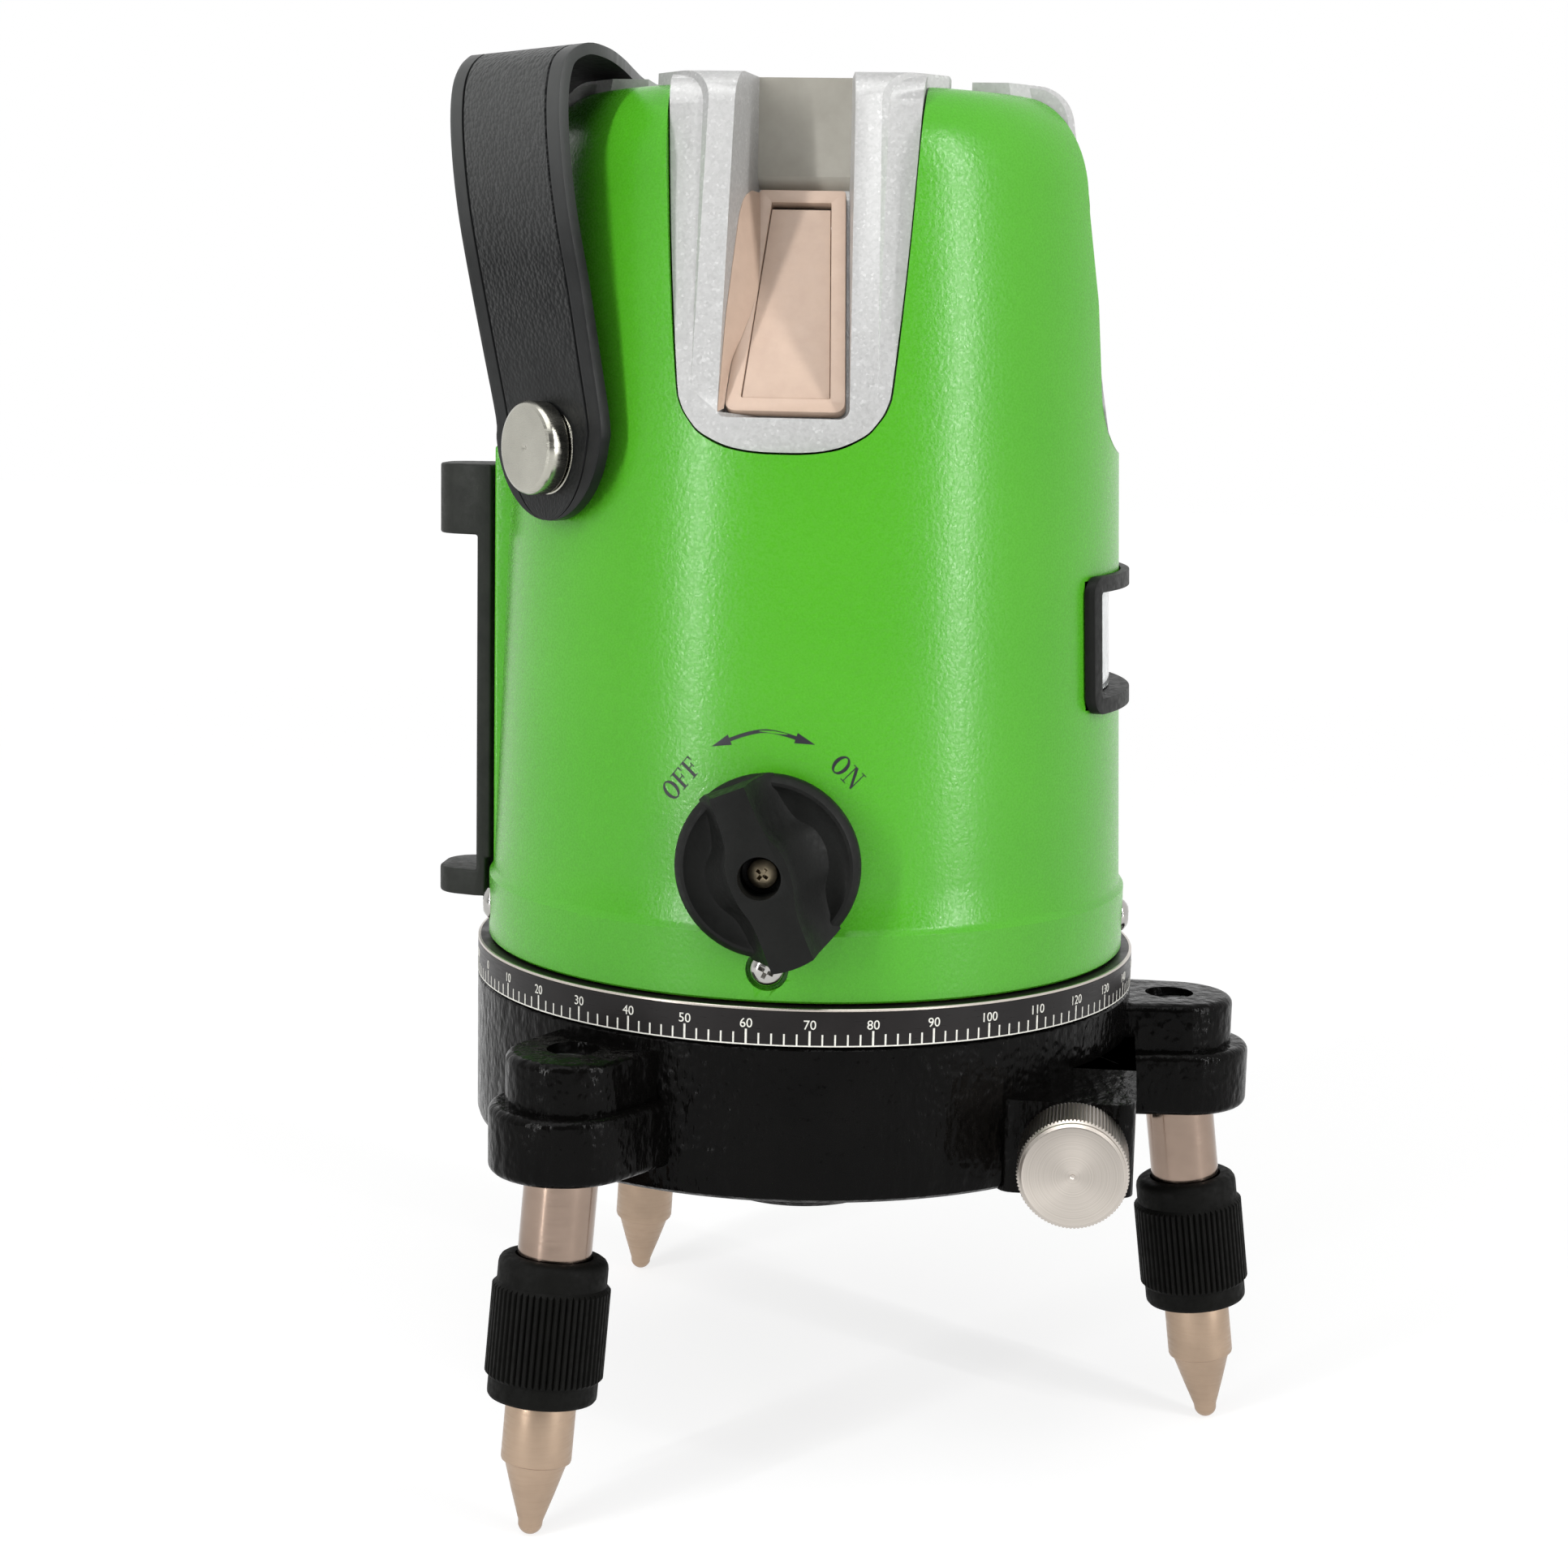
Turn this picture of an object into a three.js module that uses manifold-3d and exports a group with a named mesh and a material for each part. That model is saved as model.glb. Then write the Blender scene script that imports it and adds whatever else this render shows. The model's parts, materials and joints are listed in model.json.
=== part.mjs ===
// A self-levelling line laser on a three-legged base with a graduated dial.
//
// Millimetres, +Z up, the foot tips on z = 0. The four line windows face -Y, +X, +Y and -X.
// Pieces are drawn round the turning axis, and the last lines move the whole level so that
// its origin is the middle of its outline on the floor. An azimuth is the angle in plan from
// the -Y side towards +X.
import * as THREE from "three";
import { mergeVertices } from "three/addons/utils/BufferGeometryUtils.js";
import Module from "manifold-3d";

// ---------------------------------------------------------------- driving dimensions

const gap = 0.3; // clearance between neighbouring pieces
const outlineMiddle = { x: 7.48, y: -1.1 }; // middle of the outline, seen from the turning axis
const ridgeTop = 230; // a height above everything, for cutting tools
const outwards = 60; // a reach beyond the head, for cutting tools
const wide = 22; // half a width beyond a window housing's sides
const quarters = [0, 90, 180, 270];
const screwAzimuths = [0, 90, 180, 284]; // the left one stands clear of the battery bracket
const sides = ["front", "right", "rear", "left"];

const shell = {
  skirtRadius: 53.2,
  bottom: 82.6,
  step: 93.5,
  bodyRadius: 52.4,
  draft: 0.0395,
  shoulderStart: 188,
  shoulder: { radius: 37.5, height: 203, across: 9.6, rise: 15.5 },
  wall: 2.4,
  topInside: 213.7,
  panelSeatRadius: 24.9,
  panelSeatHeight: 216.1,
  topHoleRadius: 22.8,
};
const housing = {
  inner: 25,
  bottom: 164.4,
  frontAtBottom: 48.3,
  frontSlope: 0.172,
  top: 219.8,
  cornerRadius: 5.5,
  raisedFront: 40.6,
  raisedSlope: 0.141,
  raisedTop: 220.3,
  channelFloor: 26.7,
  channelBottom: 169.4,
  channelFloorHalf: 7.1,
  channelDraft: 0.133,
};
const pane = {
  footRadius: 46.5, // lower edge of the window's outer face
  footHeight: 169.5,
  lean: 28.8, // degrees from vertical
  length: 38.8,
  bottomHalf: 9.1,
  topHalf: 6.6,
  border: 2.2,
  thick: 1.8,
};
const panel = { radius: 24.6, bottom: 216.4, top: 218.8 };
const button = { radius: 2.5, flange: 3.3, ring: 19, top: 219.4, azimuths: [65, 90, 115] };
const stud = { azimuths: [-45, -135], height: 163.9, discRadius: 7.15, face: 57, neck: 2.5 };
const strap = { width: 29, thick: 1.7, tabRadial: 52.9, tip: 152.8 };
const knob = {
  height: 103.7,
  radius: 13.9,
  back: 53.7,
  flange: 3,
  face: 65,
  turn: 22, // lean of the grip at rest, anticlockwise as the user sees it
  shaftRadius: 4,
};
const window = { halfWidth: 23.4, bottom: 123.8, top: 145.5, bar: 2.5, proud: 1.7 };
const pad = { face: 52.1, halfWidth: 8, bottom: 92, top: 163 };
const bracket = {
  halfWidth: 7.7,
  spineBack: 52.75,
  skirtBack: 53.55, // its back where it passes the shell's skirt
  spineFace: 55.15,
  reach: 62.5,
  bottom: 87.5,
  ledgeTop: 91.9,
  prongBottom: 148.3,
  top: 159.9,
  nose: 5, // rounding of each prong's end
};
const shellScrew = {
  height: 87.6,
  headRadius: 2.65,
  shankRadius: 1.5,
  holeRadius: 1.9,
  recessRadius: 3.25,
};
const chassis = { radius: 50.4, bottom: 82.8, floor: 85.3, rimTop: 92.5, postRing: 34, ringTop: 161 };
const pivotHeight = 159.5; // where both gimbal axes cross
const gimbal = { outer: 26, inner: 22, half: 2, pin: 1, bearing: 1.1, pinReach: 31 };
const pendulum = { weight: 14, bottom: 100, weightTop: 122, stem: 6, hub: 17, pinReach: 23.5 };
const laserHead = { half: 10, bottom: 178, top: 196, height: 187, seat: 5.3 };

const base = { radius: 55, bottom: 51.7, ledge: 76, rim: 52, rimTop: 80, cavity: 50, floor: 56.5 };
const boss = { radius: 15, bottom: 38.5, bore: 10.8 };
const dial = { inner: 52.3, bottom: 76.3, top: 82.2 };
const baseTurn = 1.85; // degrees from the right side to the first leg
const lug = { ring: 63.5, radius: 11.6, bottom: 56, shelf: 66.5, capRadius: 9.4, capTop: 74.3 };
const leg = { ring: 64.4, height: 53, splay: 7.3, shaftRadius: 5.65, boreRadius: 5.95 };
const worm = { x: 46.7, z: 58.7, tip: 4.6, root: 3.5, pitch: 3.6, bore: 5.5 };
const wheel = { teeth: 72, tip: 41.8, root: 40.2, bottom: 56.8, top: 60.6, bore: 10.3 };
const driveHousing = { left: 35, right: 56, front: -42, height: 66.4, top: 68.8 };
const post = { radius: 10, top: 70 };

// ---------------------------------------------------------------- materials

function finish(colour, roughness, metalness = 0) {
  return new THREE.MeshStandardMaterial({ color: colour, roughness, metalness });
}

const finishes = {
  greenPaint: finish("#4bbd25", 0.25),
  silverPlastic: finish("#c9c8cf", 0.4, 0.3),
  tanWindow: finish("#d6ae94", 0.55),
  blackPlastic: finish("#1b1c1f", 0.5),
  blackPaint: finish("#0b0b0c", 0.3),
  blackRubber: finish("#101011", 0.8),
  leather: finish("#2c2f33", 0.7),
  nickel: finish("#cfc8bf", 0.3, 1),
  aluminium: finish("#d5d3d2", 0.35, 1),
  brass: finish("#9b875c", 0.4, 1),
  steel: finish("#a9a9ab", 0.35, 1),
  zinc: finish("#8d8f92", 0.45, 1),
  whiteGlass: finish("#eef2f2", 0.1),
  yellowGlass: finish("#d8e25a", 0.1),
  circuitGreen: finish("#1f6b3a", 0.5),
  dialBlack: finish("#17181a", 0.45),
};

// ---------------------------------------------------------------- shape helpers

const radians = THREE.MathUtils.degToRad;

// Points of an arc or an ellipse from one angle to another, in degrees.
function arc(x, y, rx, ry, from, to, steps) {
  return Array.from({ length: steps + 1 }, (_, i) => {
    const angle = radians(from + ((to - from) * i) / steps);
    return [x + rx * Math.cos(angle), y + ry * Math.sin(angle)];
  });
}

// A body turned about Z from a profile of [radius, height] points.
function turned(profile, segments = 36) {
  const points = profile.map(([r, z]) => new THREE.Vector2(r, z));
  if (THREE.ShapeUtils.isClockWise(points)) points.reverse();
  points.push(points[0].clone());
  return new THREE.LatheGeometry(points, segments).rotateX(Math.PI / 2);
}

// A prism on an outline in X and Y, between two heights.
function prism(outline, from, to) {
  const shape = new THREE.Shape(outline.map(([x, y]) => new THREE.Vector2(x, y)));
  const body = new THREE.ExtrudeGeometry(shape, { depth: to - from, bevelEnabled: false });
  return body.translate(0, 0, from);
}

function rod(radius, from, to, segments = 16) {
  const body = new THREE.CylinderGeometry(radius, radius, to - from, segments);
  return body.rotateX(Math.PI / 2).translate(0, 0, (from + to) / 2);
}

function block([x0, x1], [y0, y1], [z0, z1]) {
  const body = new THREE.BoxGeometry(x1 - x0, y1 - y0, z1 - z0);
  return body.translate((x0 + x1) / 2, (y0 + y1) / 2, (z0 + z1) / 2);
}

// Stands a body drawn along +Z out of the front, so that its Z runs along -Y and its Y up.
function towardsFront(body) {
  return body.rotateX(Math.PI / 2);
}

// A side profile of [radius, height] points, as a slab across the front face.
function frontSlab(profile, halfWidth) {
  const body = prism(profile, -halfWidth, halfWidth);
  const toFront = new THREE.Matrix4().makeBasis(
    new THREE.Vector3(0, -1, 0),
    new THREE.Vector3(0, 0, 1),
    new THREE.Vector3(-1, 0, 0),
  );
  return body.applyMatrix4(toFront);
}

function atAzimuth(body, azimuth) {
  return body.rotateZ(radians(azimuth));
}

// A level rod that stands out at an azimuth, between two distances from the turning axis.
function radialRod(radius, from, to, height, azimuth, segments = 12) {
  return atAzimuth(towardsFront(rod(radius, from, to, segments)).translate(0, 0, height), azimuth);
}

function rounded(halfX, halfY, radius, steps = 3) {
  return [
    ...arc(halfX - radius, halfY - radius, radius, radius, 0, 90, steps),
    ...arc(radius - halfX, halfY - radius, radius, radius, 90, 180, steps),
    ...arc(radius - halfX, radius - halfY, radius, radius, 180, 270, steps),
    ...arc(halfX - radius, radius - halfY, radius, radius, 270, 360, steps),
  ];
}

// A closed body through rings of equally many points.
function loft(rings) {
  const count = rings[0].length;
  const positions = rings.flat().flatMap((p) => [p.x, p.y, p.z]);
  const index = [];
  for (let i = 0; i + 1 < rings.length; i++) {
    for (let j = 0; j < count; j++) {
      const a = i * count + j;
      const b = i * count + ((j + 1) % count);
      index.push(a, b, b + count, a, b + count, a + count);
    }
  }
  const last = (rings.length - 1) * count;
  for (let j = 1; j + 1 < count; j++) {
    index.push(0, j + 1, j);
    index.push(last, last + j, last + j + 1);
  }
  const body = new THREE.BufferGeometry();
  body.setAttribute("position", new THREE.Float32BufferAttribute(positions, 3));
  body.setIndex(index);
  return body;
}

// ---------------------------------------------------------------- joining and cutting

const wasm = await Module();
wasm.setup();

function toSolid(geometry) {
  const bare = geometry.clone();
  bare.deleteAttribute("normal");
  bare.deleteAttribute("uv");
  const merged = mergeVertices(bare, 1e-4);
  const corners = [];
  for (let i = 0; i < merged.index.count; i += 3) {
    const face = [0, 1, 2].map((k) => merged.index.getX(i + k));
    if (new Set(face).size === 3) corners.push(...face);
  }
  return new wasm.Manifold(
    new wasm.Mesh({
      numProp: 3,
      vertProperties: merged.attributes.position.array,
      triVerts: new Uint32Array(corners),
    }),
  );
}

function toGeometry(made) {
  const mesh = made.getMesh();
  const geometry = new THREE.BufferGeometry();
  const positions = new Float32Array(mesh.vertProperties);
  geometry.setAttribute("position", new THREE.BufferAttribute(positions, 3));
  geometry.setIndex(new THREE.BufferAttribute(new Uint32Array(mesh.triVerts), 1));
  return geometry;
}

function join(first, ...others) {
  return toGeometry(others.reduce((all, body) => all.add(toSolid(body)), toSolid(first)));
}

function cut(first, ...tools) {
  return toGeometry(tools.reduce((left, body) => left.subtract(toSolid(body)), toSolid(first)));
}

function shared(first, ...others) {
  return toGeometry(others.reduce((all, body) => all.intersect(toSolid(body)), toSolid(first)));
}

// A tube along Z.
function ring(outer, inner, from, to, segments = 32) {
  const profile = [
    [inner, from],
    [outer, from],
    [outer, to],
    [inner, to],
  ];
  return turned(profile, segments);
}

// ---------------------------------------------------------------- the level's scene graph

const level = new THREE.Group();

function add(name, geometry, material, parent = level) {
  const bare = geometry.index ? geometry.toNonIndexed() : geometry;
  bare.computeVertexNormals();
  const mesh = new THREE.Mesh(bare, material);
  mesh.name = name;
  parent.add(mesh);
  return mesh;
}

// ---------------------------------------------------------------- green shell

function bodyRadius(z) {
  return shell.bodyRadius - shell.draft * (z - shell.step);
}

function shellOutside() {
  const { radius, height, across, rise } = shell.shoulder;
  return turned([
    [0, shell.bottom],
    [shell.skirtRadius, shell.bottom],
    [shell.skirtRadius, shell.step - 0.3],
    [shell.bodyRadius, shell.step + 0.3],
    [bodyRadius(shell.shoulderStart), shell.shoulderStart],
    ...arc(radius, height, across, rise, 0, 90, 6),
    [0, height + rise],
  ]);
}

function shellInside() {
  const { wall, step, shoulderStart, topInside } = shell;
  const height = shell.shoulder.height;
  return turned([
    [0, 80],
    [shell.skirtRadius - wall, 80],
    [shell.skirtRadius - wall, step],
    [bodyRadius(step) - wall, step + 1],
    [bodyRadius(shoulderStart) - wall, shoulderStart],
    ...arc(36, height, 8.7, topInside - height, 0, 90, 4),
    [0, topInside],
  ]);
}

// Half of a window housing's outline on the face, from the bottom middle to the top.
function housingSide(grow) {
  return [
    [5, 164.6 - grow],
    [9 + grow / 2, 165.5 - grow],
    [12 + grow, 167 - grow / 2],
    [13.6 + grow, 168.4],
    [15.5 + grow, 171.3],
    [16.3 + grow, 176],
    [17.8 + grow, 197],
    [19.5 + grow, ridgeTop],
  ];
}

function housingOutline(grow) {
  const right = [[0, housing.bottom - grow], ...housingSide(grow)];
  const left = housingSide(grow).map(([u, z]) => [-u, z]);
  return [...right, ...left.reverse()];
}

function headShell() {
  const { halfWidth, bottom, top } = window;
  const windowRim = window.bar - 1.5 - gap;
  const padBlock = block([-pad.face, -40], [-pad.halfWidth, pad.halfWidth], [pad.bottom, pad.top]);
  const tools = [
    shellInside(),
    rod(shell.topHoleRadius, 210, ridgeTop, 32),
    rod(shell.panelSeatRadius, shell.panelSeatHeight, ridgeTop, 32),
    radialRod(knob.shaftRadius + 0.4, 40, outwards, knob.height, 0, 16),
    block(
      [40, outwards],
      [windowRim - halfWidth, halfWidth - windowRim],
      [bottom + windowRim, top - windowRim],
    ),
  ];
  for (const azimuth of quarters) {
    const opening = towardsFront(prism(housingOutline(gap), housing.inner - gap, outwards));
    tools.push(atAzimuth(opening, azimuth));
  }
  for (const azimuth of screwAzimuths) {
    const { height, recessRadius, holeRadius } = shellScrew;
    tools.push(
      radialRod(recessRadius, 51.6, outwards, height, azimuth, 16),
      radialRod(holeRadius, 45, outwards, height, azimuth),
    );
  }
  for (const azimuth of stud.azimuths) {
    tools.push(radialRod(stud.neck + gap, 40, outwards, stud.height, azimuth));
  }
  return cut(join(shellOutside(), padBlock), ...tools);
}

// ---------------------------------------------------------------- window housings

function frontAt(z) {
  return housing.frontAtBottom - housing.frontSlope * (z - housing.bottom);
}

function housingBody() {
  const { inner, cornerRadius, top, raisedTop, raisedFront, raisedSlope } = housing;
  const corner = top - cornerRadius;
  const skin = frontSlab(
    [
      [inner, 160],
      [frontAt(160), 160],
      ...arc(frontAt(corner) - cornerRadius, corner, cornerRadius, cornerRadius, 0, 90, 4),
      [inner, top],
    ],
    wide,
  );
  const raisedCorner = raisedTop - cornerRadius;
  const raisedBand = frontSlab(
    [
      [inner, 176],
      [raisedFront + raisedSlope * (raisedCorner - 176), 176],
      ...arc(raisedFront - cornerRadius, raisedCorner, cornerRadius, cornerRadius, 0, 90, 4),
      [inner, raisedTop],
    ],
    wide,
  );
  const raisedFace = [
    [-10.6, 170],
    [10.6, 170],
    [13.7, ridgeTop],
    [-13.7, ridgeTop],
  ];
  return join(
    shared(towardsFront(prism(housingOutline(0), inner - 5, outwards)), skin),
    shared(towardsFront(prism(raisedFace, inner - 5, outwards)), raisedBand),
  );
}

// The open channel down the housing: drafted side walls, an upright floor above the window
// and a sloping seat behind it.
function housingChannel() {
  const { channelFloor, channelBottom, channelFloorHalf, channelDraft } = housing;
  const mouthHalf = channelFloorHalf + channelDraft * (outwards - channelFloor);
  const backHalf = channelFloorHalf - channelDraft * 2;
  const walls = prism(
    [
      [-backHalf, 2 - channelFloor],
      [backHalf, 2 - channelFloor],
      [mouthHalf, -outwards],
      [-mouthHalf, -outwards],
    ].reverse(),
    channelBottom,
    ridgeTop,
  );
  const depth = frontSlab(
    [
      [channelFloor, ridgeTop],
      [channelFloor, 205.6],
      [25.4, 203.6],
      [44.1, channelBottom],
      [outwards, channelBottom],
      [outwards, ridgeTop],
    ],
    wide,
  );
  return shared(walls, depth);
}

// The pocket behind each side band leaves the housing a moulded wall.
function housingPocket(side) {
  const face = [
    [11.4, 174],
    [13.9, 174],
    [15.6, 197],
    [17, 217.4],
    [11.4, 217.4],
  ].map(([u, z]) => [side * u, z]);
  const depth = frontSlab(
    [
      [20, 174],
      [44.2, 174],
      [37.4, 213],
      [33.5, 217.4],
      [20, 217.4],
    ],
    wide,
  );
  return shared(towardsFront(prism(side > 0 ? face : face.reverse(), 20, outwards)), depth);
}

function windowHousing() {
  const beamPath = block([-6, 6], [-outwards, -20], [173, 200.5]);
  return cut(housingBody(), housingChannel(), beamPath, housingPocket(1), housingPocket(-1));
}

// Stands a plate drawn in X and Y on the sloping window seat.
function onSlope(plate) {
  const lean = radians(pane.lean);
  const place = new THREE.Matrix4().makeBasis(
    new THREE.Vector3(1, 0, 0),
    new THREE.Vector3(0, Math.sin(lean), Math.cos(lean)),
    new THREE.Vector3(0, -Math.cos(lean), Math.sin(lean)),
  );
  place.setPosition(0, -pane.footRadius, pane.footHeight);
  return plate.applyMatrix4(place);
}

function paneOutline(inset, foot = 1.2) {
  const halfAt = (y) => pane.bottomHalf + ((pane.topHalf - pane.bottomHalf) * y) / pane.length;
  const low = foot + inset;
  const high = pane.length - inset;
  return [
    [inset - halfAt(low), low],
    [halfAt(low) - inset, low],
    [halfAt(high) - inset, high],
    [inset - halfAt(high), high],
  ];
}

function windowFrame() {
  const seat = prism(paneOutline(pane.border), -1.5, 1);
  const through = prism(paneOutline(pane.border + 0.6), -3, 1);
  return onSlope(cut(prism(paneOutline(0), -pane.thick, 0), seat, through));
}

function windowPane() {
  return onSlope(prism(paneOutline(pane.border + gap), -1.2, -0.4));
}

// ---------------------------------------------------------------- top panel and buttons

function buttonPlace(azimuth) {
  const angle = radians(azimuth);
  return [button.ring * Math.sin(angle), -button.ring * Math.cos(angle)];
}

function topPanel() {
  const holes = button.azimuths.map((azimuth) => {
    const [x, y] = buttonPlace(azimuth);
    return rod(button.radius + gap, 210, ridgeTop, 12).translate(x, y, 0);
  });
  const face = turned([
    [0, panel.bottom],
    [panel.radius, panel.bottom],
    [panel.radius, panel.top - 0.6],
    [panel.radius - 0.6, panel.top],
    [0, panel.top],
  ]);
  return cut(face, ...holes);
}

function pushButton() {
  return turned(
    [
      [0, 215],
      [button.flange, 215],
      [button.flange, panel.bottom - gap],
      [button.radius, panel.bottom - gap],
      [button.radius, button.top - 0.4],
      [button.radius - 0.4, button.top],
      [0, button.top],
    ],
    12,
  );
}

// ---------------------------------------------------------------- carrying strap

// Half of the strap's way, from the front stud up and back over the left housing: the middle
// of its outer face, and the direction of its width in plan, in degrees from +X.
const strapWay = [
  { at: [-37.4, -37.4, 168], width: -45 },
  { at: [-39.2, -37.4, 178], width: -44 },
  { at: [-41.2, -37, 188.5], width: -43 },
  { at: [-43.2, -36, 198], width: -43 },
  { at: [-44.5, -34.9, 206], width: -43 },
  { at: [-45.2, -33.9, 213.5], width: -43 },
  { at: [-45, -33.3, 218.8], width: -43 },
  { at: [-44.1, -32.1, 222], width: -43 },
  { at: [-42.4, -29.6, 223.8], width: -40 },
  { at: [-41.7, -25, 223.8], width: -32 },
  { at: [-42.3, -18, 223.3], width: -21 },
  { at: [-43.3, -9, 222.8], width: -10 },
];

// The whole way: a round-ended tab at each stud, and the way mirrored to the rear.
function strapStations() {
  const half = strap.width / 2;
  const tab = strap.tabRadial * Math.SQRT1_2;
  const tips = [0.08, 0.35, 0.7, 1].map((turn) => {
    const drop = half * (1 - Math.sin((turn * Math.PI) / 2));
    const reach = half * (1 - Math.cos((turn * Math.PI) / 2));
    return { at: [-tab, -tab, strap.tip + reach], width: -45, half: half - drop };
  });
  const front = [...tips, ...strapWay.map((station) => ({ ...station, half }))];
  const middle = { at: [-43.8, 0, 222.5], width: 0, half };
  const rear = front.map(({ at: [x, y, z], width, half: reach }) => ({
    at: [x, -y, z],
    width: -width,
    half: reach,
  }));
  return [...front, middle, ...rear.reverse()];
}

function carryStrap() {
  const stations = strapStations();
  const centres = stations.map(({ at }) => new THREE.Vector3(...at));
  const rings = stations.map(({ width, half }, i) => {
    const before = centres[Math.max(i - 1, 0)];
    const after = centres[Math.min(i + 1, centres.length - 1)];
    const along = after.clone().sub(before).normalize();
    const angle = radians(width);
    const across = new THREE.Vector3(Math.cos(angle), Math.sin(angle), 0);
    const inward = along.clone().cross(across).normalize();
    const corner = (side, depth) =>
      centres[i].clone().addScaledVector(across, side * half).addScaledVector(inward, depth);
    return [corner(-1, 0), corner(1, 0), corner(1, strap.thick), corner(-1, strap.thick)];
  });
  const holes = stud.azimuths.map((azimuth) =>
    radialRod(stud.neck + gap, 40, outwards, stud.height, azimuth),
  );
  return cut(loft(rings), ...holes);
}

function strapStud() {
  const profile = [
    [0, 46],
    [stud.neck, 46],
    [stud.neck, 53.3],
    [stud.discRadius - 0.5, 53.3],
    [stud.discRadius, 53.8],
    [stud.discRadius, stud.face - 0.6],
    [stud.discRadius - 0.6, stud.face],
    [0, stud.face],
  ];
  return towardsFront(turned(profile, 18)).translate(0, 0, stud.height);
}

function strapWasher() {
  return towardsFront(ring(6.6, stud.neck + gap, 50, 50.9, 16)).translate(0, 0, stud.height);
}

// ---------------------------------------------------------------- power switch

// The knob's pieces are drawn along +Z and then face the front.
function onKnobAxis(body) {
  return towardsFront(body).translate(0, 0, knob.height);
}

function powerKnob() {
  const { radius, back, flange, face } = knob;
  const disc = turned([
    [0, back],
    [radius, back],
    [radius, back + flange - 0.8],
    [radius - 0.8, back + flange],
    [0, back + flange],
  ]);
  const gripSection = [
    [-7, back + 1],
    [7, back + 1],
    [4, face],
    [-4, face],
  ];
  const grip = prism(gripSection, -radius - 0.3, radius - 0.6);
  grip.rotateX(Math.PI / 2).rotateZ(radians(knob.turn));
  const barrel = rod(radius + 0.3, back, face + 1, 32);
  const headRecess = rod(3.2, 59.3, face + 5);
  const screwHole = rod(1.8, 50, face, 12);
  return onKnobAxis(cut(join(disc, shared(grip, barrel)), headRecess, screwHole));
}

function knobScrew() {
  const profile = [
    [0, 48],
    [1.5, 48],
    [1.5, 59.6],
    [2.35, 59.6],
    [2.35, 60.8],
    [1.4, 61.4],
    [0, 61.4],
  ];
  return onKnobAxis(turned(profile, 14));
}

// The switch shaft ends inside in a cam that lifts and locks the pendulum when it is off.
function lockCam() {
  const shaft = rod(knob.shaftRadius, 25, knob.back - gap);
  const cam = rod(8, 24, 26).translate(0, 1.5, 0);
  return onKnobAxis(cut(join(shaft, cam), rod(1.8, 46, outwards, 12)));
}

// ---------------------------------------------------------------- bubble window

function bodyBand(outer, inner) {
  const low = window.bottom - 3;
  const high = window.top + 3;
  return turned([
    [bodyRadius(low) + inner, low],
    [bodyRadius(low) + outer, low],
    [bodyRadius(high) + outer, high],
    [bodyRadius(high) + inner, high],
  ]);
}

function windowBox(inset, reach = 40) {
  const { halfWidth, bottom, top } = window;
  const face = rounded(halfWidth - inset, (top - bottom) / 2 - inset, Math.max(3 - inset, 0.6));
  const body = towardsFront(prism(face, reach, outwards));
  return atAzimuth(body.translate(0, 0, (top + bottom) / 2), 90);
}

function sideWindowFrame() {
  const flange = shared(bodyBand(window.proud, gap), windowBox(0));
  const collar = shared(bodyBand(1, -4.5), windowBox(1));
  const shelf = block([29, 48], [-20, 20], [window.bottom + 1, window.bottom + 2.2]);
  return join(cut(join(flange, collar), windowBox(window.bar, 30)), shelf);
}

function sideWindowGlass() {
  return shared(bodyBand(-1.6, -3.2), windowBox(window.bar + gap));
}

function circularVial() {
  const floor = window.bottom + window.bar;
  const profile = [
    [0, floor],
    [8, floor],
    [8, floor + 4.6],
    ...arc(0, floor + 4.6, 7.2, 1.4, 10, 90, 4),
  ];
  return turned(profile, 16).translate(36.5, 0, 0);
}

// ---------------------------------------------------------------- battery bracket and screws

function rearBracket() {
  const { halfWidth, spineBack, skirtBack, spineFace, reach, nose } = bracket;
  const { bottom, ledgeTop, prongBottom, top } = bracket;
  const plan = [
    [-spineBack, -halfWidth],
    [-spineBack, halfWidth],
    [-spineFace, halfWidth],
    ...arc(nose - reach, 2, nose, nose, 110, 180, 4),
    ...arc(nose - reach, -2, nose, nose, 180, 250, 4),
    [-spineFace, -halfWidth],
  ];
  const bay = block([-70, -spineFace], [-30, 30], [ledgeTop, prongBottom]);
  const skirtRelief = block([-skirtBack, -40], [-30, 30], [80, shell.step + 0.6]);
  return cut(prism(plan, bottom, top), bay, skirtRelief);
}

function shellScrewBody() {
  const { headRadius, shankRadius, height } = shellScrew;
  const profile = [
    [0, 46.5],
    [shankRadius, 46.5],
    [shankRadius, 52],
    [headRadius, 52],
    [headRadius, 53.2],
    [headRadius * 0.6, 54.1],
    [0, 54.3],
  ];
  return towardsFront(turned(profile, 12)).translate(0, 0, height);
}

// ---------------------------------------------------------------- inside the head

function headChassis() {
  const { radius, bottom, floor, rimTop, postRing, ringTop } = chassis;
  const tray = turned([
    [8.4, bottom],
    [radius - 0.6, bottom],
    [radius, bottom + 0.6],
    [radius, rimTop],
    [radius - 2.4, rimTop],
    [radius - 2.4, floor],
    [8.4, floor],
  ], 32);
  const topRing = ring(38, 29, ringTop - 3, ringTop, 24);
  const posts = quarters.map((azimuth) =>
    atAzimuth(rod(4, floor - 1, ringTop - 2, 12).translate(0, -postRing, 0), azimuth + 45),
  );
  const bearings = rod(gimbal.bearing, -32, 32, 10).rotateY(Math.PI / 2);
  bearings.translate(0, 0, pivotHeight);
  const screwHoles = screwAzimuths.map((azimuth) =>
    radialRod(shellScrew.holeRadius, 40, outwards, shellScrew.height, azimuth),
  );
  return cut(join(tray, topRing, ...posts), bearings, ...screwHoles);
}

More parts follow.
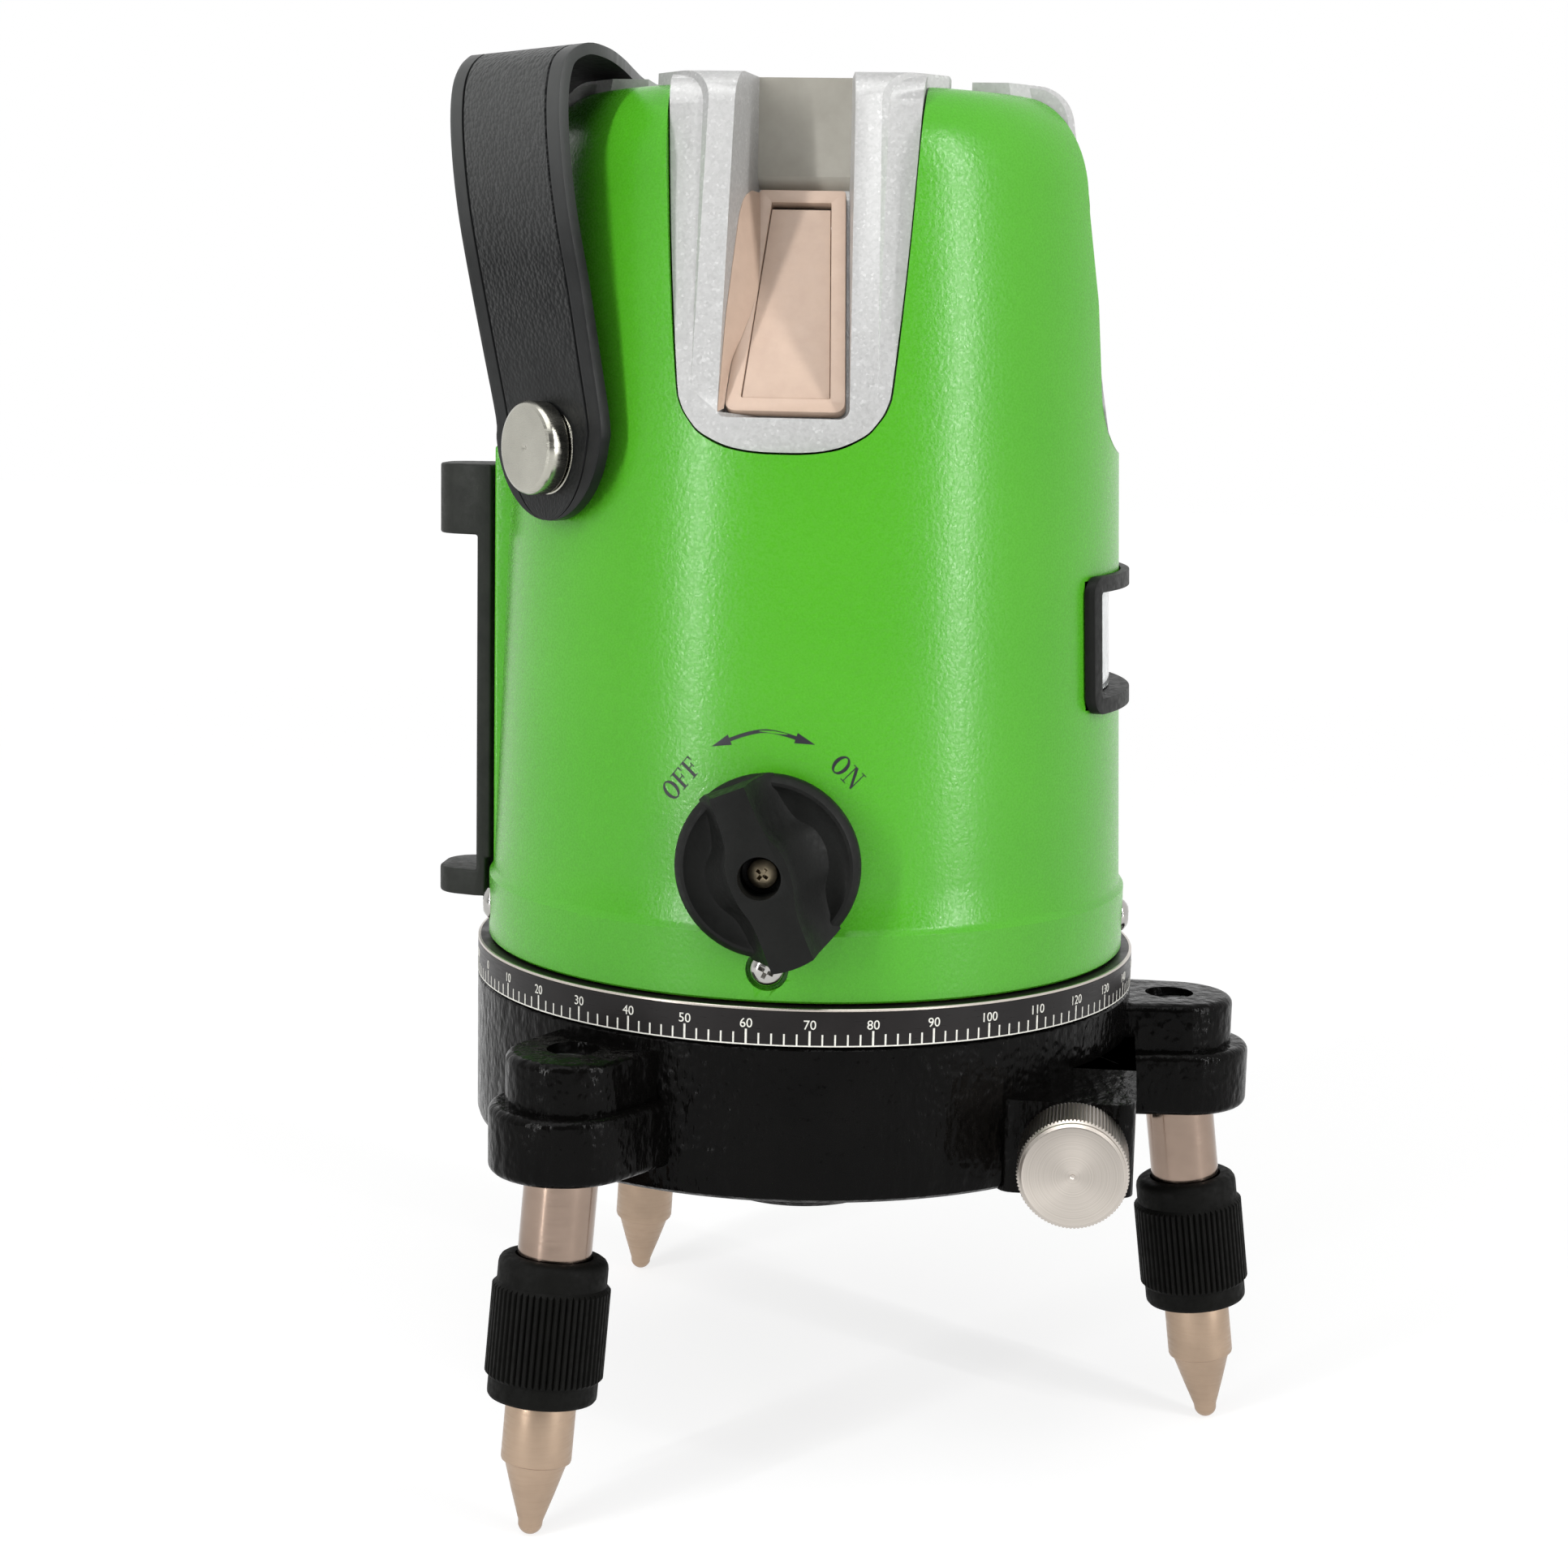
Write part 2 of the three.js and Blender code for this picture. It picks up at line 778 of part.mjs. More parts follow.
function gimbalRing() {
  const { outer, inner, half, pin, bearing, pinReach } = gimbal;
  const low = pivotHeight - half;
  const high = pivotHeight + half;
  const pins = rod(pin, -pinReach, pinReach, 10).rotateY(Math.PI / 2).translate(0, 0, pivotHeight);
  const bearings = rod(bearing, -outer, outer, 10).rotateX(Math.PI / 2).translate(0, 0, pivotHeight);
  const hollow = rod(inner, low - 1, high + 1, 24);
  return cut(join(rod(outer, low, high, 24), pins), hollow, bearings);
}

function pendulumBody() {
  const { weight, bottom, weightTop, stem, hub, pinReach } = pendulum;
  const hubBottom = pivotHeight - 3.5;
  const hubTop = pivotHeight + 2.5;
  const weightAndHub = turned(
    [
      [0, bottom],
      [weight - 1, bottom],
      [weight, bottom + 1],
      [weight, weightTop],
      [stem, weightTop + 1],
      [stem, hubBottom],
      [hub, hubBottom],
      [hub, hubTop],
      [stem, hubTop],
      [stem, laserHead.bottom + 1],
      [0, laserHead.bottom + 1],
    ],
    20,
  );
  const across = [-laserHead.half, laserHead.half];
  const head = block(across, across, [laserHead.bottom, laserHead.top]);
  const pins = rod(gimbal.pin, -pinReach, pinReach, 10).rotateX(Math.PI / 2);
  pins.translate(0, 0, pivotHeight);
  const seats = quarters.map((azimuth) =>
    radialRod(laserHead.seat, 6, 20, laserHead.height, azimuth),
  );
  return cut(join(weightAndHub, head, pins), ...seats);
}

function laserModule() {
  const profile = [
    [0, 6.4],
    [5, 6.4],
    [5, 19.4],
    [3.6, 19.4],
    [3.6, 21],
    [0, 21],
  ];
  return towardsFront(turned(profile, 12)).translate(0, 0, laserHead.height);
}

// ---------------------------------------------------------------- base casting and dial

// A point on the ring of legs.
function onLegRing(body, index) {
  return body.rotateZ(radians(baseTurn + 120 * index));
}

function lugBody() {
  const { ring: reach, radius, bottom, shelf, capRadius, capTop } = lug;
  const tier = [
    ...arc(reach, 0, radius, radius, -90, 90, 12),
    [46, radius + 2],
    [46, -radius - 2],
  ];
  const cap = [
    ...arc(reach - 0.5, 0, capRadius, capRadius, -90, 90, 10),
    [46, capRadius + 1],
    [46, -capRadius - 1],
  ];
  return join(prism(tier, bottom, shelf), prism(cap, shelf - 1, capTop));
}

// Stands a piece drawn along Z on a leg's splayed axis.
function onLeg(body, index) {
  const splay = radians(leg.splay);
  return onLegRing(body.rotateY(-splay).translate(leg.ring, 0, leg.height), index);
}

function driveHousingBody() {
  const { left, right, front, height, top } = driveHousing;
  const plan = [
    [left, 0],
    ...arc(left + 2.5, front + 2.5, 2.5, 2.5, 180, 270, 3),
    ...arc(right - 2.5, front + 2.5, 2.5, 2.5, 270, 360, 3),
    [right, 0],
  ];
  const body = prism(plan, base.bottom, top);
  const slope = prism(
    [
      [front - 5, height],
      [front, height],
      [-30, top],
      [-30, top + 5],
      [front - 5, top + 5],
    ],
    30,
    60,
  );
  const turn = new THREE.Matrix4().makeBasis(
    new THREE.Vector3(0, 1, 0),
    new THREE.Vector3(0, 0, 1),
    new THREE.Vector3(1, 0, 0),
  );
  return cut(body, slope.applyMatrix4(turn));
}

function baseCasting() {
  const outside = turned([
    [0, boss.bottom],
    [boss.radius - 1, boss.bottom],
    [boss.radius, boss.bottom + 1],
    [boss.radius, base.bottom - 2.2],
    [boss.radius + 2.2, base.bottom],
    [base.radius - 1.2, base.bottom],
    [base.radius, base.bottom + 1.2],
    [base.radius, base.ledge],
    [base.rim, base.ledge],
    [base.rim, base.rimTop],
    [0, base.rimTop],
  ]);
  const cavity = turned([
    [0, post.top],
    [post.radius, post.top],
    [post.radius, base.floor],
    [base.cavity - 1, base.floor],
    [base.cavity, base.floor + 1],
    [base.cavity, base.rimTop + 1],
    [0, base.rimTop + 1],
  ]);
  const tools = [
    cavity,
    rod(boss.bore, boss.bottom - 1, 53, 24),
    rod(3.3, 58, post.top + 1, 12),
    rod(worm.bore, -12, 45, 20).rotateX(Math.PI / 2).translate(worm.x, 0, worm.z),
  ];
  for (const index of [0, 1, 2]) {
    tools.push(onLeg(rod(leg.boreRadius, -6, 11.8, 20), index));
    tools.push(onLeg(rod(2.3, 11, 20, 12), index));
    tools.push(onLeg(rod(4, 17.3, 30), index));
  }
  const lugs = [0, 1, 2].map((index) => onLegRing(lugBody(), index));
  return cut(join(outside, ...lugs, driveHousingBody()), ...tools);
}

// ---------------------------------------------------------------- turning drive

function wormWheel() {
  const pitch = 360 / wheel.teeth;
  const outline = Array.from({ length: wheel.teeth * 2 }, (_, i) => {
    const radius = i % 2 ? wheel.tip : wheel.root;
    const angle = radians((i * pitch) / 2);
    return [radius * Math.cos(angle), radius * Math.sin(angle)];
  });
  const hub = turned(
    [
      [wheel.bore - 1, wheel.bottom],
      [14, wheel.bottom],
      [14, 77.5],
      [16, 79.8],
      [46, 79.8],
      [46, 82.5],
      [wheel.bore - 1, 82.5],
    ],
    28,
  );
  const bore = rod(wheel.bore, 50, 90, 20);
  return cut(join(prism(outline, wheel.bottom, wheel.top), hub), bore);
}

// The worm's ridges stand as rings, clear of the wheel's teeth.
function wormShaft() {
  const half = worm.pitch / 2;
  const ridges = [-1, 0, 1].flatMap((i) => {
    const y = i * worm.pitch;
    return [
      [worm.root, y - half * 0.9],
      [worm.tip, y - half * 0.3],
      [worm.tip, y + half * 0.3],
      [worm.root, y + half * 0.9],
    ];
  });
  const profile = [[0, -11.5], [3, -11.5], [3, -6.2], ...ridges, [3, 6.2], [3, 52], [0, 52]];
  return towardsFront(turned(profile, 14)).translate(worm.x, 0, worm.z);
}

function fineKnob() {
  const grooves = 44;
  const rim = Array.from({ length: grooves }, (_, i) => {
    const radius = i % 2 ? 8.45 : 8.2;
    const angle = (i * 2 * Math.PI) / grooves;
    return [radius * Math.cos(angle), radius * Math.sin(angle)];
  });
  const body = join(
    prism(rim, 43.6, 54.2),
    turned(
      [
        [0, 42.8],
        [7.6, 42.8],
        [7.9, 44],
        [7.9, 54.2],
        [7.4, 55],
        [0, 55],
      ],
      22,
    ),
  );
  return towardsFront(cut(body, rod(3.3, 40, 52.4))).translate(worm.x, 0, worm.z);
}

// The shoulder screw in the post holds the turntable and the head down.
function pivotBolt() {
  const profile = [
    [0, 60],
    [3, 60],
    [3, post.top + gap],
    [8, post.top + gap],
    [8, chassis.floor + gap],
    [12, chassis.floor + gap],
    [12, 87.6],
    [11, 88.6],
    [0, 88.6],
  ];
  return turned(profile, 16);
}

// ---------------------------------------------------------------- legs

function legShaft() {
  return cut(rod(leg.shaftRadius, -23.5, 11.5), rod(3.3, -25, -8, 12), rod(2.3, 3.5, 12, 8));
}

function levellingSleeve() {
  const ridges = 56;
  const knurl = Array.from({ length: ridges * 2 }, (_, i) => {
    const radius = i % 2 ? 9.05 : 8.5;
    const angle = (i * Math.PI) / ridges;
    return [radius * Math.cos(angle), radius * Math.sin(angle)];
  });
  const collars = turned(
    [
      [0, -32.2],
      [7.8, -32.2],
      [8.4, -31.6],
      [8.4, -11],
      [7.6, -10.2],
      [0, -10.2],
    ],
    20,
  );
  const body = join(collars, prism(knurl, -29.1, -14.2));
  return cut(body, rod(leg.boreRadius, -28.2, 0, 16), rod(5.75, -40, -28, 16));
}

function legFoot() {
  const profile = [
    [0, -14],
    [3, -14],
    [3, -30.5],
    [5.1, -30.5],
    [5.4, -30.8],
    [5.4, -41.7],
    [4.8, -42.1],
    ...arc(0, -51.5, 1.9, 1.9, -15, -90, 3),
  ];
  return turned(profile, 16);
}

function lugScrew() {
  const head = turned(
    [
      [0, 4],
      [2, 4],
      [2, 17.6],
      [3.6, 17.6],
      [3.6, 19.6],
      [3, 20.2],
      [0, 20.2],
    ],
    12,
  );
  return cut(head, rod(1.6, 18.6, 22, 6));
}

// ---------------------------------------------------------------- assembly

add("head_shell", headShell(), finishes.greenPaint);
quarters.forEach((azimuth, i) => {
  add(`window_housing_${sides[i]}`, atAzimuth(windowHousing(), azimuth), finishes.silverPlastic);
  add(`window_frame_${sides[i]}`, atAzimuth(windowFrame(), azimuth), finishes.tanWindow);
  add(`window_pane_${sides[i]}`, atAzimuth(windowPane(), azimuth), finishes.tanWindow);
  add(`shell_screw_${sides[i]}`, atAzimuth(shellScrewBody(), screwAzimuths[i]), finishes.steel);
  add(`laser_module_${sides[i]}`, atAzimuth(laserModule(), azimuth), finishes.brass);
});
add("top_panel", topPanel(), finishes.blackPlastic);
button.azimuths.forEach((azimuth, i) => {
  const [x, y] = buttonPlace(azimuth);
  add(`button_${i + 1}`, pushButton(), finishes.blackRubber).position.set(x, y, 0);
});
add("carry_strap", carryStrap(), finishes.leather);
stud.azimuths.forEach((azimuth, i) => {
  const place = ["front", "rear"][i];
  add(`strap_stud_${place}`, atAzimuth(strapStud(), azimuth), finishes.nickel);
  add(`strap_washer_${place}`, atAzimuth(strapWasher(), azimuth), finishes.nickel);
});
add("power_knob", powerKnob(), finishes.blackPlastic);
add("knob_screw", knobScrew(), finishes.brass);
add("lock_cam", lockCam(), finishes.zinc);
add("side_window_frame", sideWindowFrame(), finishes.blackPlastic);
add("side_window_glass", sideWindowGlass(), finishes.whiteGlass);
add("circular_vial", circularVial(), finishes.yellowGlass);
add("battery_bracket", rearBracket(), finishes.blackPlastic);
add("head_chassis", headChassis(), finishes.zinc);
add("gimbal_ring", gimbalRing(), finishes.brass);
add("pendulum", pendulumBody(), finishes.zinc);
add("circuit_board", block([-30.2, -28.6], [-26, 26], [100, 156]), finishes.circuitGreen);

add("base_casting", baseCasting(), finishes.blackPaint);
add("dial_ring", ring(base.radius, dial.inner, dial.bottom, dial.top, 48), finishes.dialBlack);
add("turntable", wormWheel(), finishes.brass);
add("pivot_bolt", pivotBolt(), finishes.steel);
add("worm_shaft", wormShaft(), finishes.steel);
add("fine_knob", fineKnob(), finishes.aluminium);
add("tripod_insert", ring(10.5, 6.8, 38.8, 52.7, 18), finishes.brass);
for (const index of [0, 1, 2]) {
  const number = index + 1;
  add(`leg_shaft_${number}`, onLeg(legShaft(), index), finishes.nickel);
  add(`levelling_sleeve_${number}`, onLeg(levellingSleeve(), index), finishes.blackRubber);
  add(`foot_${number}`, onLeg(legFoot(), index), finishes.nickel);
  add(`lug_screw_${number}`, onLeg(lugScrew(), index), finishes.steel);
}

level.position.set(-outlineMiddle.x, -outlineMiddle.y, 0);

export default level;
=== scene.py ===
import json
import math

import bpy
from mathutils import Matrix, Vector


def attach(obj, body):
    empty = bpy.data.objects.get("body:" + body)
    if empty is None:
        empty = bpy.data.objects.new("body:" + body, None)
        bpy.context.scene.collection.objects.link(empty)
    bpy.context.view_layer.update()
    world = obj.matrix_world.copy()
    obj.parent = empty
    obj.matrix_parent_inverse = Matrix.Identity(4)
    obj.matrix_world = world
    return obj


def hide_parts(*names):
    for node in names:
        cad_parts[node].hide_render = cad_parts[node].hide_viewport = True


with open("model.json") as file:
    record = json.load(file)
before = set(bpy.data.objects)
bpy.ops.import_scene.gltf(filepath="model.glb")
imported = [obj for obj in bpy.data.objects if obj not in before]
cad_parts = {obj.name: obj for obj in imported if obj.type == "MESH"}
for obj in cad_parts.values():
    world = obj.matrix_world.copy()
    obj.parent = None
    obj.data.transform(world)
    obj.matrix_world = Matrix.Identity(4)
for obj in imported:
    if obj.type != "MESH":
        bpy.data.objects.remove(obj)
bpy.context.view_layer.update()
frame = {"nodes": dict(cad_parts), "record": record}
nodes = frame["nodes"]

mm = 0.001
axisPlace = Vector((-0.00748, 0.0011, 0.0))  # where the turning axis stands on the floor
quarterTurns = {"front": 0, "right": 90, "rear": 180, "left": 270}


# selection and placing

def clearSelection():
    if bpy.context.object and bpy.context.object.mode != "OBJECT":
        bpy.ops.object.mode_set(mode="OBJECT")
    bpy.ops.object.select_all(action="DESELECT")


def pick(piece):
    clearSelection()
    piece.select_set(True)
    bpy.context.view_layer.objects.active = piece


def nameIt(piece, name):
    piece.name = name
    piece.data.name = name
    return piece


def copyPiece(piece, name):
    twin = piece.copy()
    twin.data = piece.data.copy()
    bpy.context.scene.collection.objects.link(twin)
    return nameIt(twin, name)


def moveBy(piece, matrix):
    piece.matrix_world = matrix @ piece.matrix_world
    pick(piece)
    bpy.ops.object.transform_apply(location=True, rotation=True, scale=True)
    return piece


def turn(degrees, axis="Z"):
    return Matrix.Rotation(math.radians(degrees), 4, axis)


def shift(x, y, z):
    return Matrix.Translation((x * mm, y * mm, z * mm))


def toFront():
    return turn(90, "X")  # what was drawn upwards then faces the front


# shaping with the modelling tools

def dragPoints(name, points):
    # one vertex dragged from point to point, so that it leaves a line behind it
    clearSelection()
    first = Vector(points[0]) * mm
    bpy.ops.mesh.primitive_plane_add(size=mm, location=first)
    piece = nameIt(bpy.context.object, name)
    bpy.ops.object.mode_set(mode="EDIT")
    bpy.ops.mesh.select_all(action="SELECT")
    bpy.ops.mesh.merge(type="CENTER")
    for before, after in zip(points, points[1:]):
        step = (Vector(after) - Vector(before)) * mm
        bpy.ops.mesh.extrude_verts_indiv()
        bpy.ops.transform.translate(value=step)
    return piece


def turned(name, profile, steps=96):
    # an outline of (radius, height) points spun once round Z, closed unless both ends are on the axis
    onAxis = profile[0][0] == 0 and profile[-1][0] == 0
    rim = profile if onAxis else [*profile, profile[0]]
    line = [(radius, 0, height) for radius, height in rim]
    piece = dragPoints(name, line)
    bpy.ops.mesh.select_all(action="SELECT")
    bpy.ops.mesh.spin(steps=steps, angle=math.tau, center=(0, 0, 0), axis=(0, 0, 1))
    return closeUp(piece)


def closeUp(piece):
    bpy.ops.mesh.select_all(action="SELECT")
    bpy.ops.mesh.remove_doubles(threshold=0.002 * mm)
    bpy.ops.mesh.dissolve_degenerate(threshold=0.001 * mm)
    bpy.ops.mesh.select_all(action="SELECT")
    bpy.ops.mesh.normals_make_consistent(inside=False)
    bpy.ops.object.mode_set(mode="OBJECT")
    return moveBy(piece, Matrix())


def slab(name, outline, low, high):
    # a flat outline of (x, y) points filled and extruded between two heights
    points = [(x, y, low) for x, y in [*outline, outline[0]]]
    piece = dragPoints(name, points)
    bpy.ops.mesh.select_all(action="SELECT")
    bpy.ops.mesh.remove_doubles(threshold=0.002 * mm)
    bpy.ops.mesh.select_all(action="SELECT")
    bpy.ops.mesh.edge_face_add()
    bpy.ops.mesh.extrude_region()
    bpy.ops.transform.translate(value=(0, 0, (high - low) * mm))
    return closeUp(piece)


def brick(name, xs, ys, zs):
    clearSelection()
    size = (xs[1] - xs[0], ys[1] - ys[0], zs[1] - zs[0])
    middle = (sum(xs) / 2, sum(ys) / 2, sum(zs) / 2)
    bpy.ops.mesh.primitive_cube_add(size=mm, location=Vector(middle) * mm, scale=size)
    piece = nameIt(bpy.context.object, name)
    return moveBy(piece, Matrix())


def peg(name, radius, low, high, sides=48):
    clearSelection()
    bpy.ops.mesh.primitive_cylinder_add(
        vertices=sides, radius=radius * mm, depth=(high - low) * mm,
        location=(0, 0, (low + high) / 2 * mm),
    )
    return moveBy(nameIt(bpy.context.object, name), Matrix())


def frontSlab(name, profile, halfWidth):
    # a side profile of (distance out, height) points as a slab across the front
    piece = slab(name, profile, -halfWidth, halfWidth)
    basis = Matrix(((0, 0, -1, 0), (-1, 0, 0, 0), (0, 1, 0, 0), (0, 0, 0, 1)))
    return moveBy(piece, basis)


def combine(piece, tool, operation="DIFFERENCE"):
    pick(piece)
    step = piece.modifiers.new("combine", "BOOLEAN")
    step.object = tool
    step.operation = operation
    step.solver = "EXACT"
    bpy.ops.object.modifier_apply(modifier=step.name)
    bpy.data.objects.remove(tool)
    return piece


def softEdges(piece, width, segments=2, angle=30):
    pick(piece)
    step = piece.modifiers.new("soft edges", "BEVEL")
    step.width = width * mm
    step.segments = segments
    step.limit_method = "ANGLE"
    step.angle_limit = math.radians(angle)
    bpy.ops.object.modifier_apply(modifier=step.name)
    return smooth(piece)


def smooth(piece, angle=32):
    pick(piece)
    bpy.ops.object.shade_smooth_by_angle(angle=math.radians(angle))
    return piece


def arcPoints(x, y, rx, ry, start, end, steps):
    turns = [math.radians(start + (end - start) * i / steps) for i in range(steps + 1)]
    return [(x + rx * math.cos(t), y + ry * math.sin(t)) for t in turns]


def roundCorners(corners, radii, steps=5):
    # an outline with each corner rounded by its own radius
    outline = []
    for i, corner in enumerate(corners):
        here, radius = Vector(corner), radii[i]
        if not radius:
            outline.append(tuple(here))
            continue
        back = (Vector(corners[i - 1]) - here).normalized()
        ahead = (Vector(corners[(i + 1) % len(corners)]) - here).normalized()
        half = back.angle(ahead) / 2
        reach = radius / math.tan(half)
        centre = here + (back + ahead).normalized() * (radius / math.sin(half))
        first, last = here + back * reach - centre, here + ahead * reach - centre
        total = first.angle(last)
        for k in range(steps + 1):
            near, far = math.sin((1 - k / steps) * total), math.sin(k / steps * total)
            outline.append(tuple(centre + (first * near + last * far) / math.sin(total)))
    return outline


def roundLine(points, steps=4):
    # a smooth line through the given points
    line = []
    for i in range(len(points) - 1):
        near = [points[max(i - 1, 0)], points[i], points[i + 1], points[min(i + 2, len(points) - 1)]]
        a, b, c, d = (Vector(p) for p in near)
        for k in range(steps):
            t = k / steps
            place = 0.5 * (2 * b + (c - a) * t + (2 * a - 5 * b + 4 * c - d) * t * t
                           + (3 * b - a - 3 * c + d) * t ** 3)
            line.append(tuple(place))
    line.append(tuple(points[-1]))
    return line


def fit(piece, body, slot, material, *replaced):
    # the finished piece goes from the turning axis to its place in the frame
    moveBy(piece, Matrix.Translation(axisPlace))
    marks = [face.material_index for face in piece.data.polygons]
    piece.data.materials.clear()
    for coat in material if isinstance(material, list) else [material]:
        piece.data.materials.append(coat)
    for face, mark in zip(piece.data.polygons, marks):
        face.material_index = mark
    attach(piece, body)
    if replaced:
        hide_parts(*replaced)
    return piece


# camera, light and floor

studio = {
    "ambient": 0.18,
    "room": 0.12,
    # the floor's own white near the object and far from it, beside the lit floor, which keeps the shadow
    "floorNear": 0.765, "floorFar": 0.9, "fadeFrom": 0.2, "fadeTo": 2.0, "floorLit": 0.86, "floorSeen": 0.3,
    # azimuth from the front towards the right, distance, height, size and watts of each soft box
    "lamps": {
        "left strip": (-36, 1.0, 0.46, (0.03, 0.95), 6.4),
        "right strip": (59, 1.0, 0.46, (0.03, 0.95), 7.0),
        "top softbox": (-16, 0.5, 1.15, (0.95, 0.95), 6.6),
    },
}
view = {
    "place": (0.0390, -0.4413, 0.1775),
    "heading": -6.52,  # degrees from straight back, to the left
    "dip": 8.94,
    "roll": 1.24,
    "lens": 61.49,
}


def addCamera():
    heading = math.radians(view["heading"])
    dip = math.radians(view["dip"])
    ahead = Vector((math.sin(heading) * math.cos(dip), math.cos(heading) * math.cos(dip), -math.sin(dip)))
    level = Vector((math.cos(heading), -math.sin(heading), 0))
    above = level.cross(ahead)
    roll = math.radians(view["roll"])
    right = level * math.cos(roll) + above * math.sin(roll)
    up = right.cross(ahead)
    data = bpy.data.cameras.new("camera")
    data.lens = view["lens"]
    data.sensor_width = 36
    data.clip_start = 0.01
    camera = bpy.data.objects.new("camera", data)
    bpy.context.scene.collection.objects.link(camera)
    basis = Matrix((right, up, -ahead)).transposed().to_4x4()
    camera.matrix_world = Matrix.Translation(view["place"]) @ basis
    bpy.context.scene.camera = camera


def addLamp(name, azimuth, distance, height, size, power):
    angle = math.radians(azimuth)
    place = Vector((math.sin(angle) * distance, -math.cos(angle) * distance, height))
    data = bpy.data.lights.new(name, "AREA")
    data.shape = "RECTANGLE"
    data.size, data.size_y = size
    data.energy = power
    lamp = bpy.data.objects.new(name, data)
    bpy.context.scene.collection.objects.link(lamp)
    lamp.location = place
    towards = Vector((0, 0, 0.11)) - place
    lamp.rotation_euler = towards.to_track_quat("-Z", "Y").to_euler()


def addWorld():
    # a white studio whose front, where the room is, is dimmer than its backdrop
    world = bpy.data.worlds.new("studio")
    bpy.context.scene.world = world
    world.use_nodes = True
    tree = world.node_tree
    link = tree.links.new
    plain = tree.nodes["Background"]
    plain.inputs["Color"].default_value = (1, 1, 1, 1)
    plain.inputs["Strength"].default_value = studio["ambient"]
    shown = tree.nodes.new("ShaderNodeBackground")
    shown.inputs["Color"].default_value = (1, 1, 1, 1)
    direction = tree.nodes.new("ShaderNodeTexCoord")
    towardsRoom = tree.nodes.new("ShaderNodeVectorMath")
    towardsRoom.operation = "DOT_PRODUCT"
    towardsRoom.inputs[1].default_value = (0, -1, 0)
    link(direction.outputs["Generated"], towardsRoom.inputs[0])
    dim = tree.nodes.new("ShaderNodeMapRange")
    dim.interpolation_type = "SMOOTHSTEP"
    dim.inputs["From Min"].default_value = -0.1
    dim.inputs["From Max"].default_value = 0.95
    dim.inputs["To Min"].default_value = 1
    dim.inputs["To Max"].default_value = studio["room"]
    link(towardsRoom.outputs["Value"], dim.inputs["Value"])
    path = tree.nodes.new("ShaderNodeLightPath")
    straight = maxOf(tree, path.outputs["Is Camera Ray"], path.outputs["Is Transmission Ray"])
    link(maxOf(tree, dim.outputs["Result"], straight), shown.inputs["Strength"])
    mix = tree.nodes.new("ShaderNodeMixShader")
    link(maxOf(tree, straight, path.outputs["Is Glossy Ray"]), mix.inputs[0])
    link(plain.outputs[0], mix.inputs[1])
    link(shown.outputs[0], mix.inputs[2])
    link(mix.outputs[0], tree.nodes["World Output"].inputs[0])


def maxOf(tree, first, second):
    larger = tree.nodes.new("ShaderNodeMath")
    larger.operation = "MAXIMUM"
    tree.links.new(first, larger.inputs[0])
    tree.links.new(second, larger.inputs[1])
    return larger.outputs[0]


def addFloor():
    clearSelection()
    bpy.ops.mesh.primitive_plane_add(size=6, location=(0, 0, -0.0002))
    floor = nameIt(bpy.context.object, "floor")
    material = bpy.data.materials.new("floor")
    material.use_nodes = True
    tree = material.node_tree
    shader = tree.nodes["Principled BSDF"]
    shader.inputs["Roughness"].default_value = 0.8
    white = tree.nodes.new("ShaderNodeEmission")
    white.inputs["Strength"].default_value = 1
    path = tree.nodes.new("ShaderNodeLightPath")
    seen = tree.nodes.new("ShaderNodeMath")
    seen.operation = "MULTIPLY"
    link = tree.links.new
    place = tree.nodes.new("ShaderNodeTexCoord")
    away = tree.nodes.new("ShaderNodeVectorMath")
    away.operation = "LENGTH"
    link(place.outputs["Object"], away.inputs[0])
    fade = tree.nodes.new("ShaderNodeMapRange")
    fade.inputs["From Min"].default_value = studio["fadeFrom"]
    fade.inputs["From Max"].default_value = studio["fadeTo"]
    fade.inputs["To Min"].default_value = studio["floorNear"]
    fade.inputs["To Max"].default_value = studio["floorFar"]
    link(away.outputs["Value"], fade.inputs["Value"])
    link(fade.outputs["Result"], seen.inputs[1])
    both = tree.nodes.new("ShaderNodeAddShader")  # the lit floor keeps the shadow, the glow makes it white
    straight = maxOf(tree, path.outputs["Is Camera Ray"], path.outputs["Is Transmission Ray"])
    inSight = maxOf(tree, straight, path.outputs["Is Glossy Ray"])
    link(inSight, seen.inputs[0])
    link(seen.outputs[0], white.inputs["Strength"])
    tone = tree.nodes.new("ShaderNodeMapRange")
    tone.inputs["To Min"].default_value = studio["floorLit"]
    tone.inputs["To Max"].default_value = studio["floorSeen"]
    link(inSight, tone.inputs["Value"])
    link(tone.outputs["Result"], shader.inputs["Base Color"])
    link(shader.outputs[0], both.inputs[0])
    link(white.outputs[0], both.inputs[1])
    link(both.outputs[0], tree.nodes["Material Output"].inputs[0])
    floor.data.materials.append(material)


bpy.context.scene.view_settings.view_transform = "Standard"
addCamera()
addWorld()
for lampName, lampSetting in studio["lamps"].items():
    addLamp(lampName, *lampSetting)
addFloor()
print("camera, lamps and floor are in place")


# finishes

def startFinish(name, colour, roughness, metallic=0.0, **sockets):
    material = bpy.data.materials.new(name)
    material.use_nodes = True
    shader = material.node_tree.nodes["Principled BSDF"]
    shader.inputs["Base Color"].default_value = (*colour, 1)
    shader.inputs["Roughness"].default_value = roughness
    shader.inputs["Metallic"].default_value = metallic
    for socket, value in sockets.items():
        shader.inputs[socket.replace("_", " ")].default_value = value
    return material


